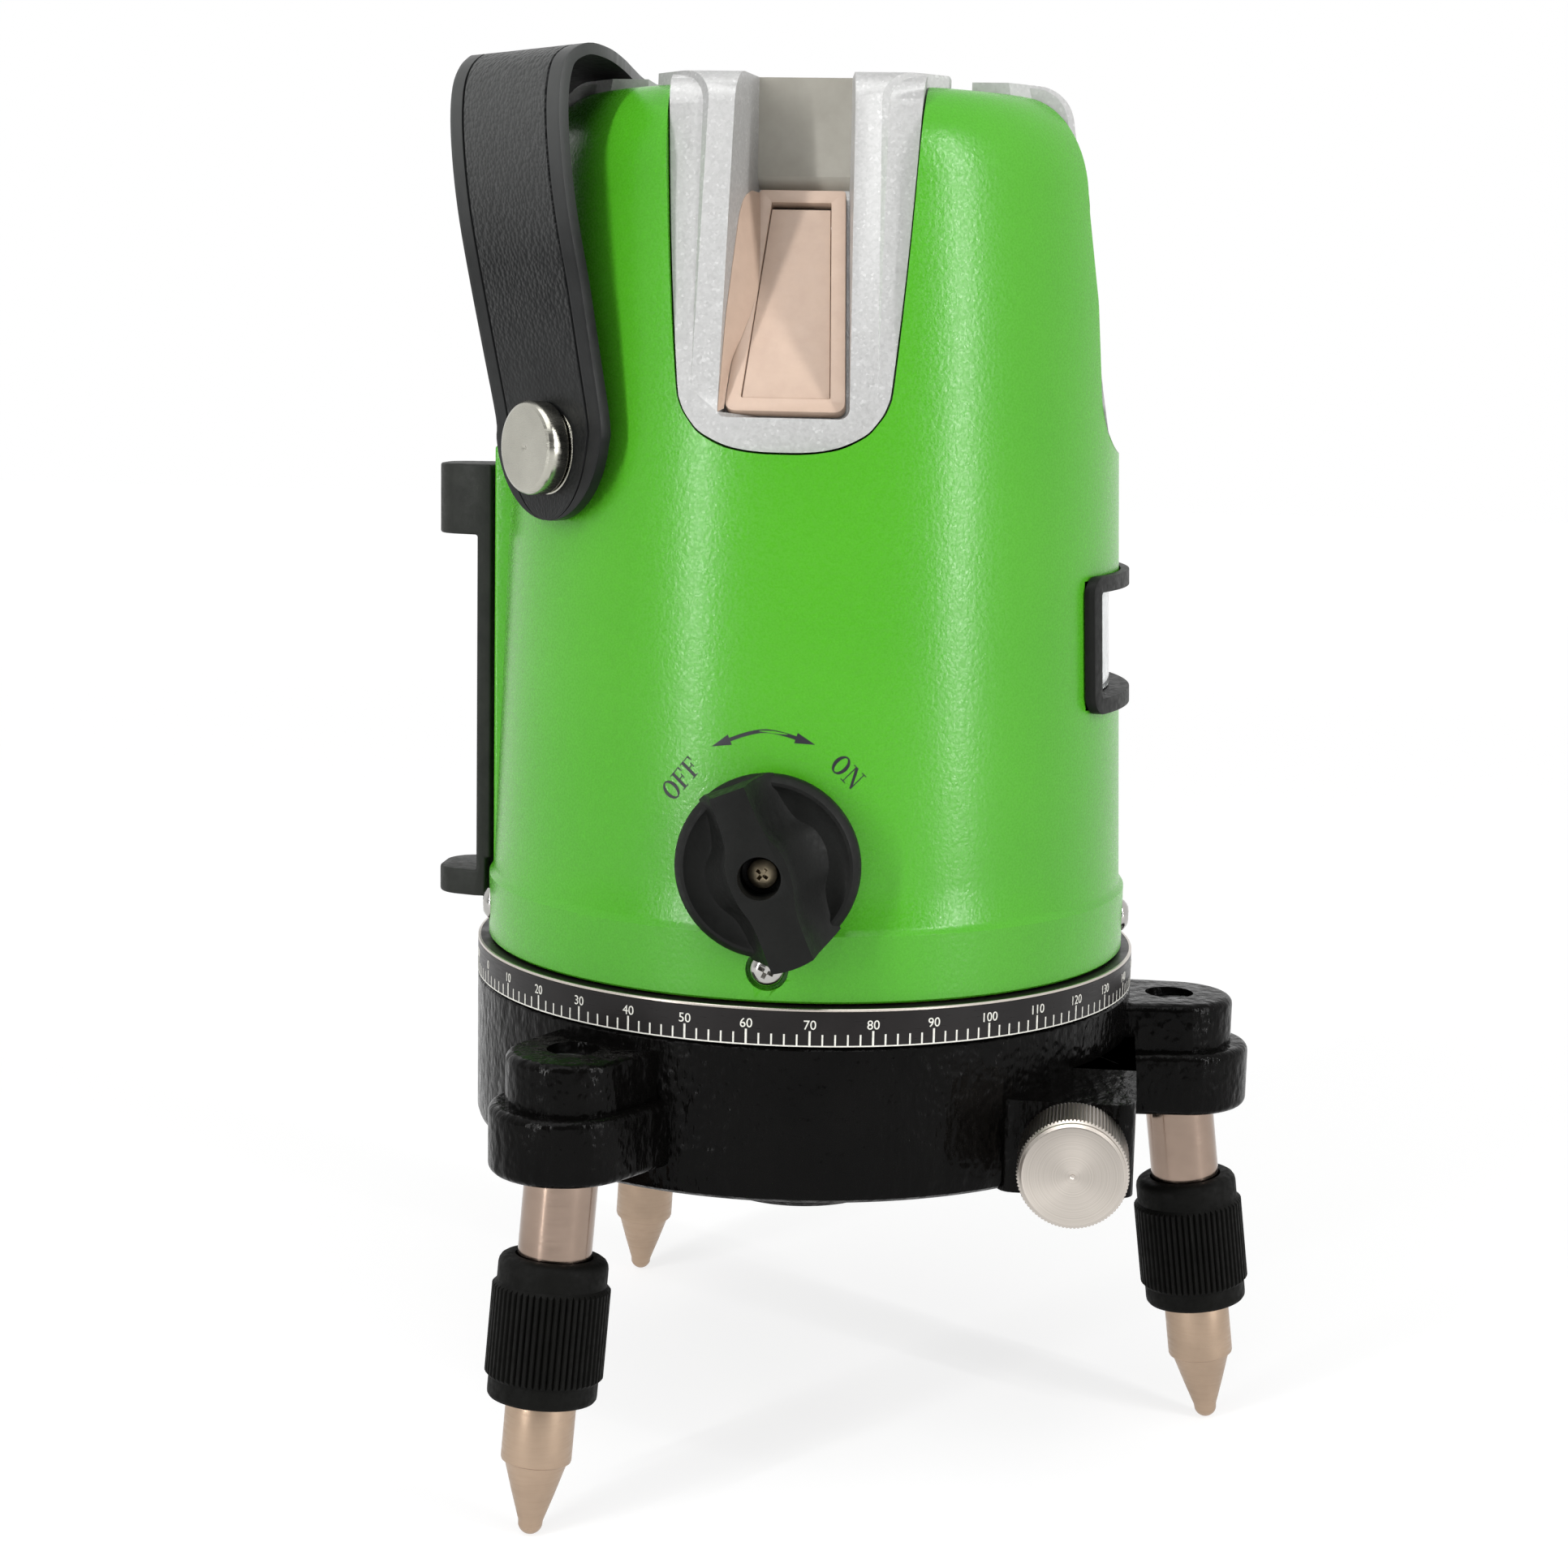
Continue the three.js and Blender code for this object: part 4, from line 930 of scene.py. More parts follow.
def makeShell():
    ring = shell["shoulder"]
    outside = turned("shell", [
        (0, shell["bottom"]), (shell["skirt"] - 0.35, shell["bottom"]), (shell["skirt"], shell["bottom"] + 0.35),
        (shell["skirt"], 86), (shell["skirt"], 90), (shell["skirt"], 92.85), (shell["skirt"] - 0.2, 93.15),
        (bodyRadius(93.9) + 0.15, 93.6), *bodyRows(94, shell["shoulderStart"], 15),
        *arcPoints(ring["radius"], ring["height"], ring["across"], ring["rise"], 0, 90, 16),
        (shell["seatRadius"] + 0.3, 218.5), (shell["seatRadius"], 218.2), (shell["seatRadius"], shell["seat"]),
        (shell["hole"], shell["seat"]), (shell["hole"], 214.5), (0, 214.5),
    ], shell["steps"])
    block = brick("pad", (-pad["face"], -40), (-pad["halfWidth"], pad["halfWidth"]), (pad["bottom"], pad["top"]))
    softEdges(block, 0.4, 3)
    combine(outside, block, "UNION")
    inside = turned("inside", [
        (0, 80), (shell["skirt"] - shell["wall"], 80), (shell["skirt"] - shell["wall"], 93.5),
        *bodyRows(94.5, shell["shoulderStart"], 8, shell["wall"]),
        *arcPoints(36, ring["height"], 8.7, shell["topInside"] - ring["height"], 0, 90, 6),
        (0, shell["topInside"]),
    ], shell["steps"])
    combine(outside, inside)
    combine(outside, peg("hole", shell["hole"], 210, 216, 128))
    opening = slab("opening", housingOutline(housing["gap"]), housing["inner"] - 0.3, housing["beyond"])
    moveBy(opening, toFront())
    for name, azimuth in quarterTurns.items():
        combine(outside, moveBy(copyPiece(opening, "opening " + name), turn(azimuth)))
    for azimuth in shellScrew["azimuths"].values():
        combine(outside, outwardPeg("recess", shellScrew["recess"], shellScrew["recessFloor"], 60,
                                    shellScrew["height"], azimuth, 64))
        combine(outside, outwardPeg("hole", shellScrew["hole"], 45, 60, shellScrew["height"], azimuth))
    bpy.data.objects.remove(opening)
    for azimuth in stud["azimuths"].values():
        combine(outside, outwardPeg("hole", stud["neck"] + 0.3, 40, 60, stud["height"], azimuth))
    combine(outside, outwardPeg("hole", knob["hole"], 40, 60, knob["height"], 0))
    rim = sideWindow["bar"] - 1.8
    edge = sideWindow["halfWidth"] - rim
    combine(outside, brick("window", (40, 60), (-edge, edge),
                           (sideWindow["bottom"] + rim, sideWindow["top"] - rim)))
    softEdges(outside, 0.22, 2, 40)
    return fit(outside, "head", "green_paint", finish["green"], "head_shell")


makeShell()
print("green shell made")


# silver window housings

def frontAt(z):
    return housing["front"] - housing["frontSlope"] * (z - housing["bottom"])


def sliced(piece, point, normal):
    # cuts off what stands beyond a plane and closes the cut
    pick(piece)
    bpy.ops.object.mode_set(mode="EDIT")
    bpy.ops.mesh.select_all(action="SELECT")
    bpy.ops.mesh.bisect(plane_co=Vector(point) * mm, plane_no=normal, use_fill=True, clear_outer=True)
    bpy.ops.object.mode_set(mode="OBJECT")
    return piece


def housingSkin():
    corner = housing["top"] - housing["corner"]
    return frontSlab("skin", [
        (housing["inner"], 160), (frontAt(160), 160),
        *arcPoints(frontAt(corner) - housing["corner"], corner, housing["corner"], housing["corner"], 10, 90, 10),
        (housing["inner"], housing["top"]),
    ], 22)


def raisedBand():
    at, slope = housing["raisedAt"], housing["raisedSlope"]
    low = 171
    band = frontSlab("raised band", [
        (housing["inner"], low), (housing["raisedFront"] + slope * (at - low), low),
        *arcPoints(housing["raisedFront"] - housing["corner"], at, housing["corner"], housing["corner"], 8, 90, 10),
        (housing["inner"], housing["raisedTop"]),
    ], 22)
    lean = housing["facet"] * slope - housing["raisedSpread"]
    for side in (1, -1):
        sliced(band, (side * housing["raisedHalf"], -housing["raisedFront"], at), (side, -housing["facet"], lean))
    return band


def channelTool():
    floor, draft = housing["channelFloor"], housing["channelDraft"]
    back = housing["channelHalf"] - draft * 2
    mouth = housing["channelHalf"] + draft * (housing["beyond"] - floor)
    walls = slab("channel", [
        (-back, 2 - floor), (-mouth, -housing["beyond"]), (mouth, -housing["beyond"]), (back, 2 - floor),
    ], housing["channelBottom"], housing["above"])
    depth = frontSlab("depth", [
        (floor, housing["above"]), (floor, 205.6), (25.4, 203.6), (44.1, housing["channelBottom"]),
        (housing["beyond"], housing["channelBottom"]), (housing["beyond"], housing["above"]),
    ], 22)
    combine(walls, depth, "INTERSECT")
    pick(walls)
    bpy.ops.object.mode_set(mode="EDIT")
    bpy.ops.mesh.select_all(action="DESELECT")
    bpy.ops.mesh.select_mode(type="EDGE")
    bpy.ops.object.mode_set(mode="OBJECT")
    points = walls.data.vertices
    for edge in walls.data.edges:
        a, b = (points[i].co / mm for i in edge.vertices)
        low = abs(a.z - housing["channelBottom"]) < 0.01 and abs(b.z - housing["channelBottom"]) < 0.01
        edge.select = low and abs(a.y - b.y) > 5 and abs(a.x) > 5
    bpy.ops.object.mode_set(mode="EDIT")
    bpy.ops.mesh.bevel(offset=housing["channelCorner"] * mm, segments=5)
    bpy.ops.mesh.select_mode(type="VERT")
    bpy.ops.object.mode_set(mode="OBJECT")
    return walls


def makeHousings():
    body = moveBy(slab("housing", housingOutline(0), housing["inner"], housing["beyond"]), toFront())
    combine(body, housingSkin(), "INTERSECT")
    combine(body, raisedBand(), "UNION")
    combine(body, channelTool())
    combine(body, brick("beam path", (-5.2, 5.2), (-60, -20), (173, 202)))
    softEdges(body, 0.32, 3, 12)
    for face in body.data.polygons:
        # the back wall of the channel, deep in the recess, takes the darker grey: painted shade
        place = face.center / mm
        if abs(place.x) < 7.2 and -26.8 < place.y < -24 and place.z > 203.2:
            face.material_index = 1
    for place, azimuth in quarterTurns.items():
        piece = moveBy(copyPiece(body, "silver_housing_" + place), turn(azimuth))
        fit(piece, "head", "silver_plastic", [finish["silver"], finish["channel"]], "window_housing_" + place)
    bpy.data.objects.remove(body)


makeHousings()
print("window housings made")


# tan line windows

pane = {
    "foot": 46.5, "footHeight": 169.5, "lean": 28.8, "length": 38.8, "footHalf": 9.1, "topHalf": 6.6,
    "start": 1.0, "border": 2.2, "thick": 1.8, "footCorner": 1.5, "topCorner": 0.5, "slot": 0.85,
}
cheek = {
    # its edge on the channel wall, then its edge on the window, both going down
    "wall": [(30.4, 203.2), (34.2, 202.0), (36.9, 199.5), (38.9, 195.4), (41.3, 189.8), (43.6, 184.3),
             (45.3, 178.0), (46.9, 171.6), (47.2, 170.2)],
    "window": [(-6.55, 203.0), (-6.25, 200.5), (-5.9, 197), (-5.6, 192.5), (-5.55, 188.6), (-6.2, 184.9),
               (-7.35, 181), (-8.5, 177.4), (-9.0, 170.6)],
    "thick": 0.5, "proud": 0.12,
}


def onSlope():
    lean = math.radians(pane["lean"])
    basis = Matrix((
        (1, 0, 0), (0, math.sin(lean), math.cos(lean)), (0, -math.cos(lean), math.sin(lean)),
    )).transposed().to_4x4()
    return shift(0, -pane["foot"], pane["footHeight"]) @ basis


def paneOutline(inset, headroom=0.0, cornerShare=1.0):
    low, high = pane["start"] + inset, pane["length"] - inset - headroom
    spread = (pane["topHalf"] - pane["footHalf"]) / pane["length"]
    foot, top = pane["footHalf"] + spread * low - inset, pane["footHalf"] + spread * high - inset
    radii = [pane["footCorner"] * cornerShare] * 2 + [pane["topCorner"] * cornerShare] * 2
    return roundCorners([(-foot, low), (foot, low), (top, high), (-top, high)], radii)


def makeCheek():
    wall = roundLine(cheek["wall"], 4)
    window = roundLine(cheek["window"], 4)
    rows, across = len(wall) - 1, 6
    clearSelection()
    bpy.ops.mesh.primitive_grid_add(x_subdivisions=across, y_subdivisions=rows, size=1)
    sheet = nameIt(bpy.context.object, "cheek")
    lean = math.tan(math.radians(pane["lean"]))
    for point in sheet.data.vertices:
        share = point.co.x + 0.5
        row = round((0.5 - point.co.y) * rows)
        reach, z = wall[row]
        u = -(housing["channelHalf"] + housing["channelDraft"] * (reach - housing["channelFloor"]))
        onWall = Vector((u + cheek["proud"], -reach, z))
        u, z = window[row]
        onWindow = Vector((u, lean * (z - pane["footHeight"]) - pane["foot"] - cheek["proud"], z))
        point.co = onWall.lerp(onWindow, share) * mm
    pick(sheet)
    if sum((face.normal.x for face in sheet.data.polygons)) < 0:
        sheet.data.flip_normals()
    body = sheet.modifiers.new("thickness", "SOLIDIFY")
    body.thickness = cheek["thick"] * mm
    body.offset = -1
    bpy.ops.object.modifier_apply(modifier=body.name)
    return smooth(sheet, 50)


def makeWindows():
    surround = slab("surround", paneOutline(0), -pane["thick"], 0)
    combine(surround, slab("opening", paneOutline(pane["border"], 0, 0.25), -3, 1))
    softEdges(surround, 0.16, 2)
    moveBy(surround, onSlope())
    near = makeCheek()
    plate = slab("plate", paneOutline(pane["border"] + 0.12, pane["slot"], 0.2), -1.15, -0.4)
    softEdges(plate, 0.12, 2)
    moveBy(plate, onSlope())
    for place, azimuth in quarterTurns.items():
        clearSelection()
        parts = [moveBy(copyPiece(part, "part"), turn(azimuth)) for part in (surround, near)]
        clearSelection()
        for part in parts:
            part.select_set(True)
        bpy.context.view_layer.objects.active = parts[0]
        bpy.ops.object.join()
        whole = nameIt(parts[0], "tan_surround_" + place)
        fit(whole, "head", "tan_window", finish["frame"], "window_frame_" + place)
        piece = moveBy(copyPiece(plate, "tan_plate_" + place), turn(azimuth))
        fit(piece, "head", "tan_window", finish["pane"], "window_pane_" + place)
    for part in (surround, near, plate):
        bpy.data.objects.remove(part)


makeWindows()
print("line windows made")


# top panel and buttons

panel = {"radius": 24.6, "bottom": 216.4, "top": 218.8}
button = {"radius": 2.5, "flange": 3.3, "ring": 19, "top": 219.4, "azimuths": [65, 90, 115]}


def makePanel():
    r, top = panel["radius"], panel["top"]
    plate = turned("top_cover", [
        (0, panel["bottom"]), (r - 0.2, panel["bottom"]), (r, panel["bottom"] + 0.2), (r, top - 0.6),
        (r - 0.18, top - 0.18), (r - 0.6, top), (r - 1.6, top), (r - 1.8, top - 0.25), (r - 2.2, top - 0.25),
        (r - 2.4, top - 0.05), (12, top - 0.05), (11.8, top - 0.2), (11.4, top - 0.2), (11.2, top - 0.05),
        (0, top - 0.05),
    ], 144)
    for azimuth in button["azimuths"]:
        hole = moveBy(peg("hole", button["radius"] + 0.3, 210, 230), turn(azimuth) @ shift(0, -button["ring"], 0))
        combine(plate, hole)
    smooth(plate, 30)
    fit(plate, "head", "black_plastic", finish["plastic"], "top_panel")
    cap = turned("cap", [
        (0, 215), (button["flange"], 215), (button["flange"], 216.1), (button["radius"], 216.1),
        (button["radius"], button["top"] - 0.6), (button["radius"] - 0.2, button["top"] - 0.2),
        (button["radius"] - 0.6, button["top"]), (1.3, button["top"] - 0.12), (0, button["top"] - 0.22),
    ], 64)
    smooth(cap, 30)
    for i, azimuth in enumerate(button["azimuths"], 1):
        piece = moveBy(copyPiece(cap, f"push_button_{i}"), turn(azimuth) @ shift(0, -button["ring"], 0))
        fit(piece, ["first_button", "second_button", "third_button"][i - 1], "black_rubber", finish["rubber"],
            f"button_{i}")
    bpy.data.objects.remove(cap)


makePanel()
print("top panel made")


# power switch knob and its screw

knobGrip = {
    # half widths of the ridge along its length, from the lower tip to the upper end
    "face": [(-14.2, 3.3), (-10, 3.2), (-6, 3.4), (-3, 4.2), (0, 4.5), (3, 4.2), (5.5, 3.2), (9, 2.8), (13.3, 2.7)],
    "levels": [(65, 1.0), (62.2, 1.12), (59.5, 1.36), (57.4, 1.72), (55.6, 2.2)],
    "recess": 3.2, "recessFloor": 59.3,
}


def crossCut(head, size, width, depth, top):
    # a cross recess with tapering arms, in a head that faces up
    for spin in (0, 90):
        arm = brick("arm", (-size, size), (-width / 2, width / 2), (top - depth, top + 1))
        for point in arm.data.vertices:
            if point.co.z < top * mm - 0.0001:
                point.co.x *= 0.35
                point.co.y *= 0.7
        combine(head, moveBy(arm, turn(45 + spin)))
    return head


def taperedSlab(name, outline, levels):
    # an outline filled at the first height and extruded down through wider ones
    height, spread = levels[0]
    points = [(x, y, height) for x, y in [*outline, outline[0]]]
    piece = dragPoints(name, points)
    bpy.ops.mesh.select_all(action="SELECT")
    bpy.ops.mesh.remove_doubles(threshold=0.002 * mm)
    bpy.ops.mesh.select_all(action="SELECT")
    bpy.ops.mesh.edge_face_add()
    for low, wider in levels[1:]:
        bpy.ops.mesh.extrude_region()
        bpy.ops.transform.translate(value=(0, 0, (low - height) * mm))
        bpy.ops.transform.resize(value=(wider / spread, 1, 1), center_override=(0, 0, 0))
        height, spread = low, wider
    return closeUp(piece)


def makeKnob():
    r, back = knob["radius"], knob["back"]
    disc = turned("knob", [
        (0, back), (r - 0.3, back), (r, back + 0.3), (r, back + 1.7), (r - 0.25, back + 2.2), (r - 1.0, back + 2.9),
        (r - 1.5, back + 3.0), (r - 2.2, back + 2.6), (9, back + 2.3), (0, back + 2.2),
    ], 144)
    edge = roundLine(knobGrip["face"], 4)
    outline = [(half, y) for y, half in edge] + [(-half, y) for y, half in reversed(edge)]
    grip = taperedSlab("grip", outline, knobGrip["levels"])
    barrel = peg("barrel", r + 0.3, back, knob["face"] + 1, 144)
    combine(grip, barrel, "INTERSECT")
    combine(disc, grip, "UNION")
    combine(disc, peg("recess", knobGrip["recess"], knobGrip["recessFloor"], 70))
    combine(disc, peg("hole", 1.8, 50, 62, 32))
    softEdges(disc, 0.4, 3, 28)
    place = shift(0, 0, knob["height"]) @ toFront()
    moveBy(disc, place @ turn(knob["lean"]))
    nameIt(disc, "power_grip")
    fit(disc, "switch", "black_plastic", finish["plastic"], "power_knob")
    head = turned("knob_screw_head", [
        (0, 48), (1.5, 48), (1.5, 59.6), (2.2, 59.6), (2.35, 59.75), (2.35, 60.5), (2.15, 60.95), (1.5, 61.3),
        (0, 61.4),
    ], 64)
    crossCut(head, 1.5, 0.62, 1.1, 61.4)
    smooth(head, 30)
    moveBy(head, place @ turn(8))
    fit(head, "switch", "brass", finish["dullBrass"], "knob_screw")


def makeShellScrews():
    r = shellScrew["head"]
    head = turned("head", [
        (0, 46.5), (1.5, 46.5), (1.5, 52), (r - 0.15, 52), (r, 52.15), (r, 53.1), (r - 0.2, 53.5), (r - 0.75, 53.95),
        (1.4, 54.2), (0, 54.3),
    ], 64)
    crossCut(head, 1.75, 0.75, 1.3, 54.3)
    smooth(head, 30)
    for place, azimuth in shellScrew["azimuths"].items():
        lean = {"front": 20, "right": -12, "rear": 33, "left": 4}[place]
        piece = moveBy(copyPiece(head, "screw_head_" + place),
                       turn(azimuth) @ shift(0, 0, shellScrew["height"]) @ toFront() @ turn(lean))
        fit(piece, "head", "steel", finish["chrome"], "shell_screw_" + place)
    bpy.data.objects.remove(head)


makeKnob()
makeShellScrews()
print("knob and screws made")


# bubble window

def bodyBand(name, outer, inner):
    low, high = sideWindow["bottom"] - 3, sideWindow["top"] + 3
    return turned(name, [
        *bodyRows(low, high, 4, -outer), *reversed(bodyRows(low, high, 4, -inner)),
    ], shell["steps"])


def windowBlock(inset, near=40):
    halfWidth, low, high = sideWindow["halfWidth"] - inset, sideWindow["bottom"] + inset, sideWindow["top"] - inset
    radius = max(sideWindow["corner"] - inset, 0.6)
    outline = roundCorners([(-halfWidth, low), (halfWidth, low), (halfWidth, high), (-halfWidth, high)], [radius] * 4)
    return moveBy(slab("window block", outline, near, 60), turn(90) @ toFront())


def makeSideWindow():
    flange = bodyBand("bubble_window_frame", sideWindow["proud"], 0.3)
    combine(flange, windowBlock(0), "INTERSECT")
    collar = bodyBand("collar", 1.0, -4.5)
    combine(collar, windowBlock(1), "INTERSECT")
    combine(flange, collar, "UNION")
    combine(flange, windowBlock(sideWindow["bar"], 30))
    shelf = brick("shelf", (29, 47.5), (-20, 20), (sideWindow["bottom"] + 1.2, sideWindow["bottom"] + 2.2))
    combine(flange, shelf, "UNION")
    softEdges(flange, 0.3, 3, 35)
    fit(flange, "head", "black_plastic", finish["plastic"], "side_window_frame")
    glass = bodyBand("bubble_window_glass", -1.6, -3.2)
    combine(glass, windowBlock(sideWindow["bar"] + 0.3), "INTERSECT")
    smooth(glass)
    fit(glass, "head", "clear_glass", finish["glass"], "side_window_glass")


makeSideWindow()
print("bubble window made")


# battery bracket on the left

bracket = {
    "halfWidth": 7.7, "back": 52.75, "skirtBack": 53.55, "face": 55.15, "reach": 62.5, "bottom": 87.5,
    "ledge": 91.9, "prong": 148.3, "top": 159.9, "nose": 5, "noseFlat": 2,
}


def makeBracket():
    b = bracket
    nose, centre = b["nose"], b["nose"] - b["reach"]
    piece = slab("battery_holder", [
        (-b["back"], -b["halfWidth"]), (-b["back"], b["halfWidth"]), (-b["face"] - 0.5, b["halfWidth"]),
        *arcPoints(centre, b["noseFlat"], nose, nose, 110, 180, 10),
        *arcPoints(centre, -b["noseFlat"], nose, nose, 180, 250, 10), (-b["face"] - 0.5, -b["halfWidth"]),
    ], b["bottom"], b["top"])
    combine(piece, brick("bay", (-70, -b["face"]), (-30, 30), (b["ledge"], b["prong"])))
    combine(piece, brick("relief", (-b["skirtBack"], -40), (-30, 30), (80, shell["step"] + 0.6)))
    softEdges(piece, 0.4, 3, 50)
    fit(piece, "head", "black_plastic", finish["bracketPlastic"], "battery_bracket")


makeBracket()
print("battery bracket made")


# base casting with its three lugs

base = {
    "radius": 55, "bottom": 51.7, "ledge": 76, "rim": 52, "rimTop": 80, "cavity": 50, "floor": 56.5,
    "boss": 15, "bossBottom": 38.5, "bossBore": 10.8, "post": 10, "postTop": 70,
    "firstLug": 1.85,  # degrees from the right side to the first lug
}
lug = {"ring": 63.5, "radius": 11.6, "bottom": 56, "shelf": 66.5, "cap": 9.6, "capTop": 74.3, "edge": 1.4}
leg = {"ring": 64.4, "height": 53, "splay": 7.3, "shaft": 5.65, "bore": 5.95}
driveHousing = {"left": 35, "right": 56, "front": -42, "low": 66.4, "high": 68.8, "corner": 2.5}
worm = {"x": 46.7, "z": 58.7, "bore": 5.5}


def onLug(index):
    return turn(base["firstLug"] + 120 * index)


def onLeg(index):
    return onLug(index) @ shift(leg["ring"], 0, leg["height"]) @ turn(-leg["splay"], "Y")


def makeLug():
    reach, r = lug["ring"], lug["radius"]
    tier = slab("lug", [
        *arcPoints(reach, 0, r, r, -90, 90, 28), (50, r + 0.9), (48, r + 1.6), (46, r + 2.6),
        (46, -r - 2.6), (48, -r - 1.6), (50, -r - 0.9),
    ], lug["bottom"], lug["shelf"])
    softEdges(tier, lug["edge"], 5, 40)
    r = lug["cap"]
    cap = slab("cap", [
        *arcPoints(reach - 0.9, 0, r, r, -90, 90, 24), (50, r + 0.7), (48, r + 1.4), (46, r + 2.4),
        (46, -r - 2.4), (48, -r - 1.4), (50, -r - 0.7),
    ], lug["shelf"] - 3, lug["capTop"])
    softEdges(cap, lug["edge"], 5, 40)
    return combine(tier, cap, "UNION")


def makeDriveHousing():
    d = driveHousing
    plan = roundCorners([(d["left"], 0), (d["left"], d["front"]), (d["right"], d["front"]), (d["right"], 0)],
                        [0, d["corner"], d["corner"], 0], 6)
    body = slab("drive housing", plan, base["bottom"], d["high"])
    front = d["front"]
    return sliced(sliced(body, (0, front, d["low"]), (0, -0.2, 1)), (0, -30, d["high"]), (0, 0, 1))


def makeBase():
    r, low = base["radius"], base["bottom"]
    casting = turned("cast_base", [
        (0, 38.5), (base["boss"] - 0.8, 38.5), (base["boss"], 39.3), (base["boss"], low - 2.7),
        (base["boss"] + 0.8, low - 1.1), (base["boss"] + 2.3, low), (r - 1.9, low), (r - 1.7, low), (r - 0.9, low + 0.25),
        (r - 0.25, low + 0.8), (r, low + 1.6), (r, 60), (r, 68), (r, base["ledge"] - 0.3),
        (r - 0.3, base["ledge"]), (base["rim"], base["ledge"]), (base["rim"], base["rimTop"]), (0, base["rimTop"]),
    ], 168)
    for index in range(3):
        combine(casting, moveBy(makeLug(), onLug(index)), "UNION")
    combine(casting, makeDriveHousing(), "UNION")
    combine(casting, turned("cavity", [
        (0, base["postTop"]), (base["post"], base["postTop"]), (base["post"], base["floor"]),
        (base["cavity"] - 1, base["floor"]), (base["cavity"], base["floor"] + 1), (base["cavity"], 83), (0, 83),
    ], 96))
    combine(casting, peg("boss bore", base["bossBore"], base["bossBottom"] - 1, 53, 64))
    combine(casting, peg("post bore", 3.3, 58, base["postTop"] + 1, 32))
    bore = moveBy(peg("drive bore", worm["bore"], -12, 45, 48), shift(worm["x"], 0, worm["z"]) @ toFront())
    combine(casting, bore)
    for index in range(3):
        for radius, near, far in ((leg["bore"], -6, 11.8), (2.3, 11, 20), (4, 17.3, 30)):
            combine(casting, moveBy(peg("leg bore", radius, near, far), onLeg(index)))
    softEdges(casting, 0.95, 4, 33)
    return fit(casting, "base", "black_paint", finish["crackle"], "base_casting")


makeBase()
print("base casting made")


# graduated dial

dial = {
    "outer": 55, "inner": 52.3, "bottom": 76.3, "top": 82.2, "zeroAt": -62.87,
    "tickFoot": 76.6, "shortTick": 78.3, "longTick": 78.85, "shortWide": 0.26, "longWide": 0.32,
    "figureFoot": 79.1, "figureHigh": 1.42, "proud": 0.03,
}


def makeDial():
    r, low, top = dial["outer"], dial["bottom"], dial["top"]
    band = turned("dial_band", [
        (dial["inner"], low), (r - 0.1, low), (r, low + 0.1), (r, 78), (r, 80), (r, top - 0.45), (r - 0.45, top - 0.45),
        (r - 0.45, top - 0.04), (r - 0.5, top), (dial["inner"], top),
    ], 240)
    smooth(band)
    fit(band, "base", "dial_black", finish["dial"], "dial_ring")
    edge = turned("dial_edge", [
        (r - 0.43, top - 0.43), (r - 0.06, top - 0.43), (r, top - 0.36), (r, top - 0.1), (r - 0.1, top),
        (r - 0.43, top),
    ], 240)
    smooth(edge)
    fit(edge, "base", "dial_black", finish["aluminium"])
    line = turned("dial_line", [
        (r - 0.1, low + 0.12), (r + 0.02, low + 0.12), (r + 0.02, low + 0.32), (r - 0.1, low + 0.32),
    ], 240)
    fit(line, "base", "dial_black", finish["whiteInk"])


def ringOfTicks(name, count, high, wide):
    tick = brick(name, (-wide / 2, wide / 2), (-dial["outer"] - dial["proud"], -dial["outer"] + 0.05),
                 (dial["tickFoot"], high))
    bpy.ops.object.mode_set(mode="EDIT")
    bpy.ops.mesh.select_all(action="SELECT")
    bpy.ops.mesh.spin(steps=count, angle=math.tau, center=(0, 0, 0), axis=(0, 0, 1), dupli=True)
    return closeUp(tick)


def makeTicks():
    short = ringOfTicks("dial_ticks", 180, dial["shortTick"], dial["shortWide"])
    moveBy(short, turn(dial["zeroAt"]))
    fit(short, "base", "dial_black", finish["whiteInk"])
    tall = ringOfTicks("dial_long_ticks", 36, dial["longTick"], dial["longWide"])
    moveBy(tall, turn(dial["zeroAt"]))
    fit(tall, "base", "dial_black", finish["whiteInk"])


def makeFigures():
    figures = []
    for degree in range(0, 360, 10):
        clearSelection()
        bpy.ops.object.text_add()
        label = bpy.context.object
        label.data.body = str(degree)
        label.data.size = dial["figureHigh"] * mm / 0.7
        label.data.extrude = 0.05 * mm
        label.data.resolution_u = 4
        label.data.align_x = "CENTER"
        bpy.ops.object.convert(target="MESH")
        figure = bpy.context.object
        place = turn(dial["zeroAt"] + degree) @ shift(0, -dial["outer"], dial["figureFoot"])
        figures.append(moveBy(figure, place @ toFront()))
    clearSelection()
    for figure in figures:
        figure.select_set(True)
    bpy.context.view_layer.objects.active = figures[0]
    bpy.ops.object.join()
    fit(nameIt(figures[0], "dial_figures"), "base", "dial_black", finish["whiteInk"])


makeDial()
makeTicks()
makeFigures()
print("dial made")


# fine adjustment knob

fineKnob = {"radius": 8.45, "ridges": 92, "depth": 0.24, "back": 42.8, "face": 55}


def ridgedOutline(radius, depth, ridges, crest=0.5):
    # a knurled outline, each ridge with a small flat on its crest
    outline = []
    for i in range(ridges):
        for share, reach in ((-0.5, radius - depth), (-crest / 2, radius), (crest / 2, radius)):
            angle = math.tau * (i + share) / ridges
            outline.append((reach * math.cos(angle), reach * math.sin(angle)))
    return outline


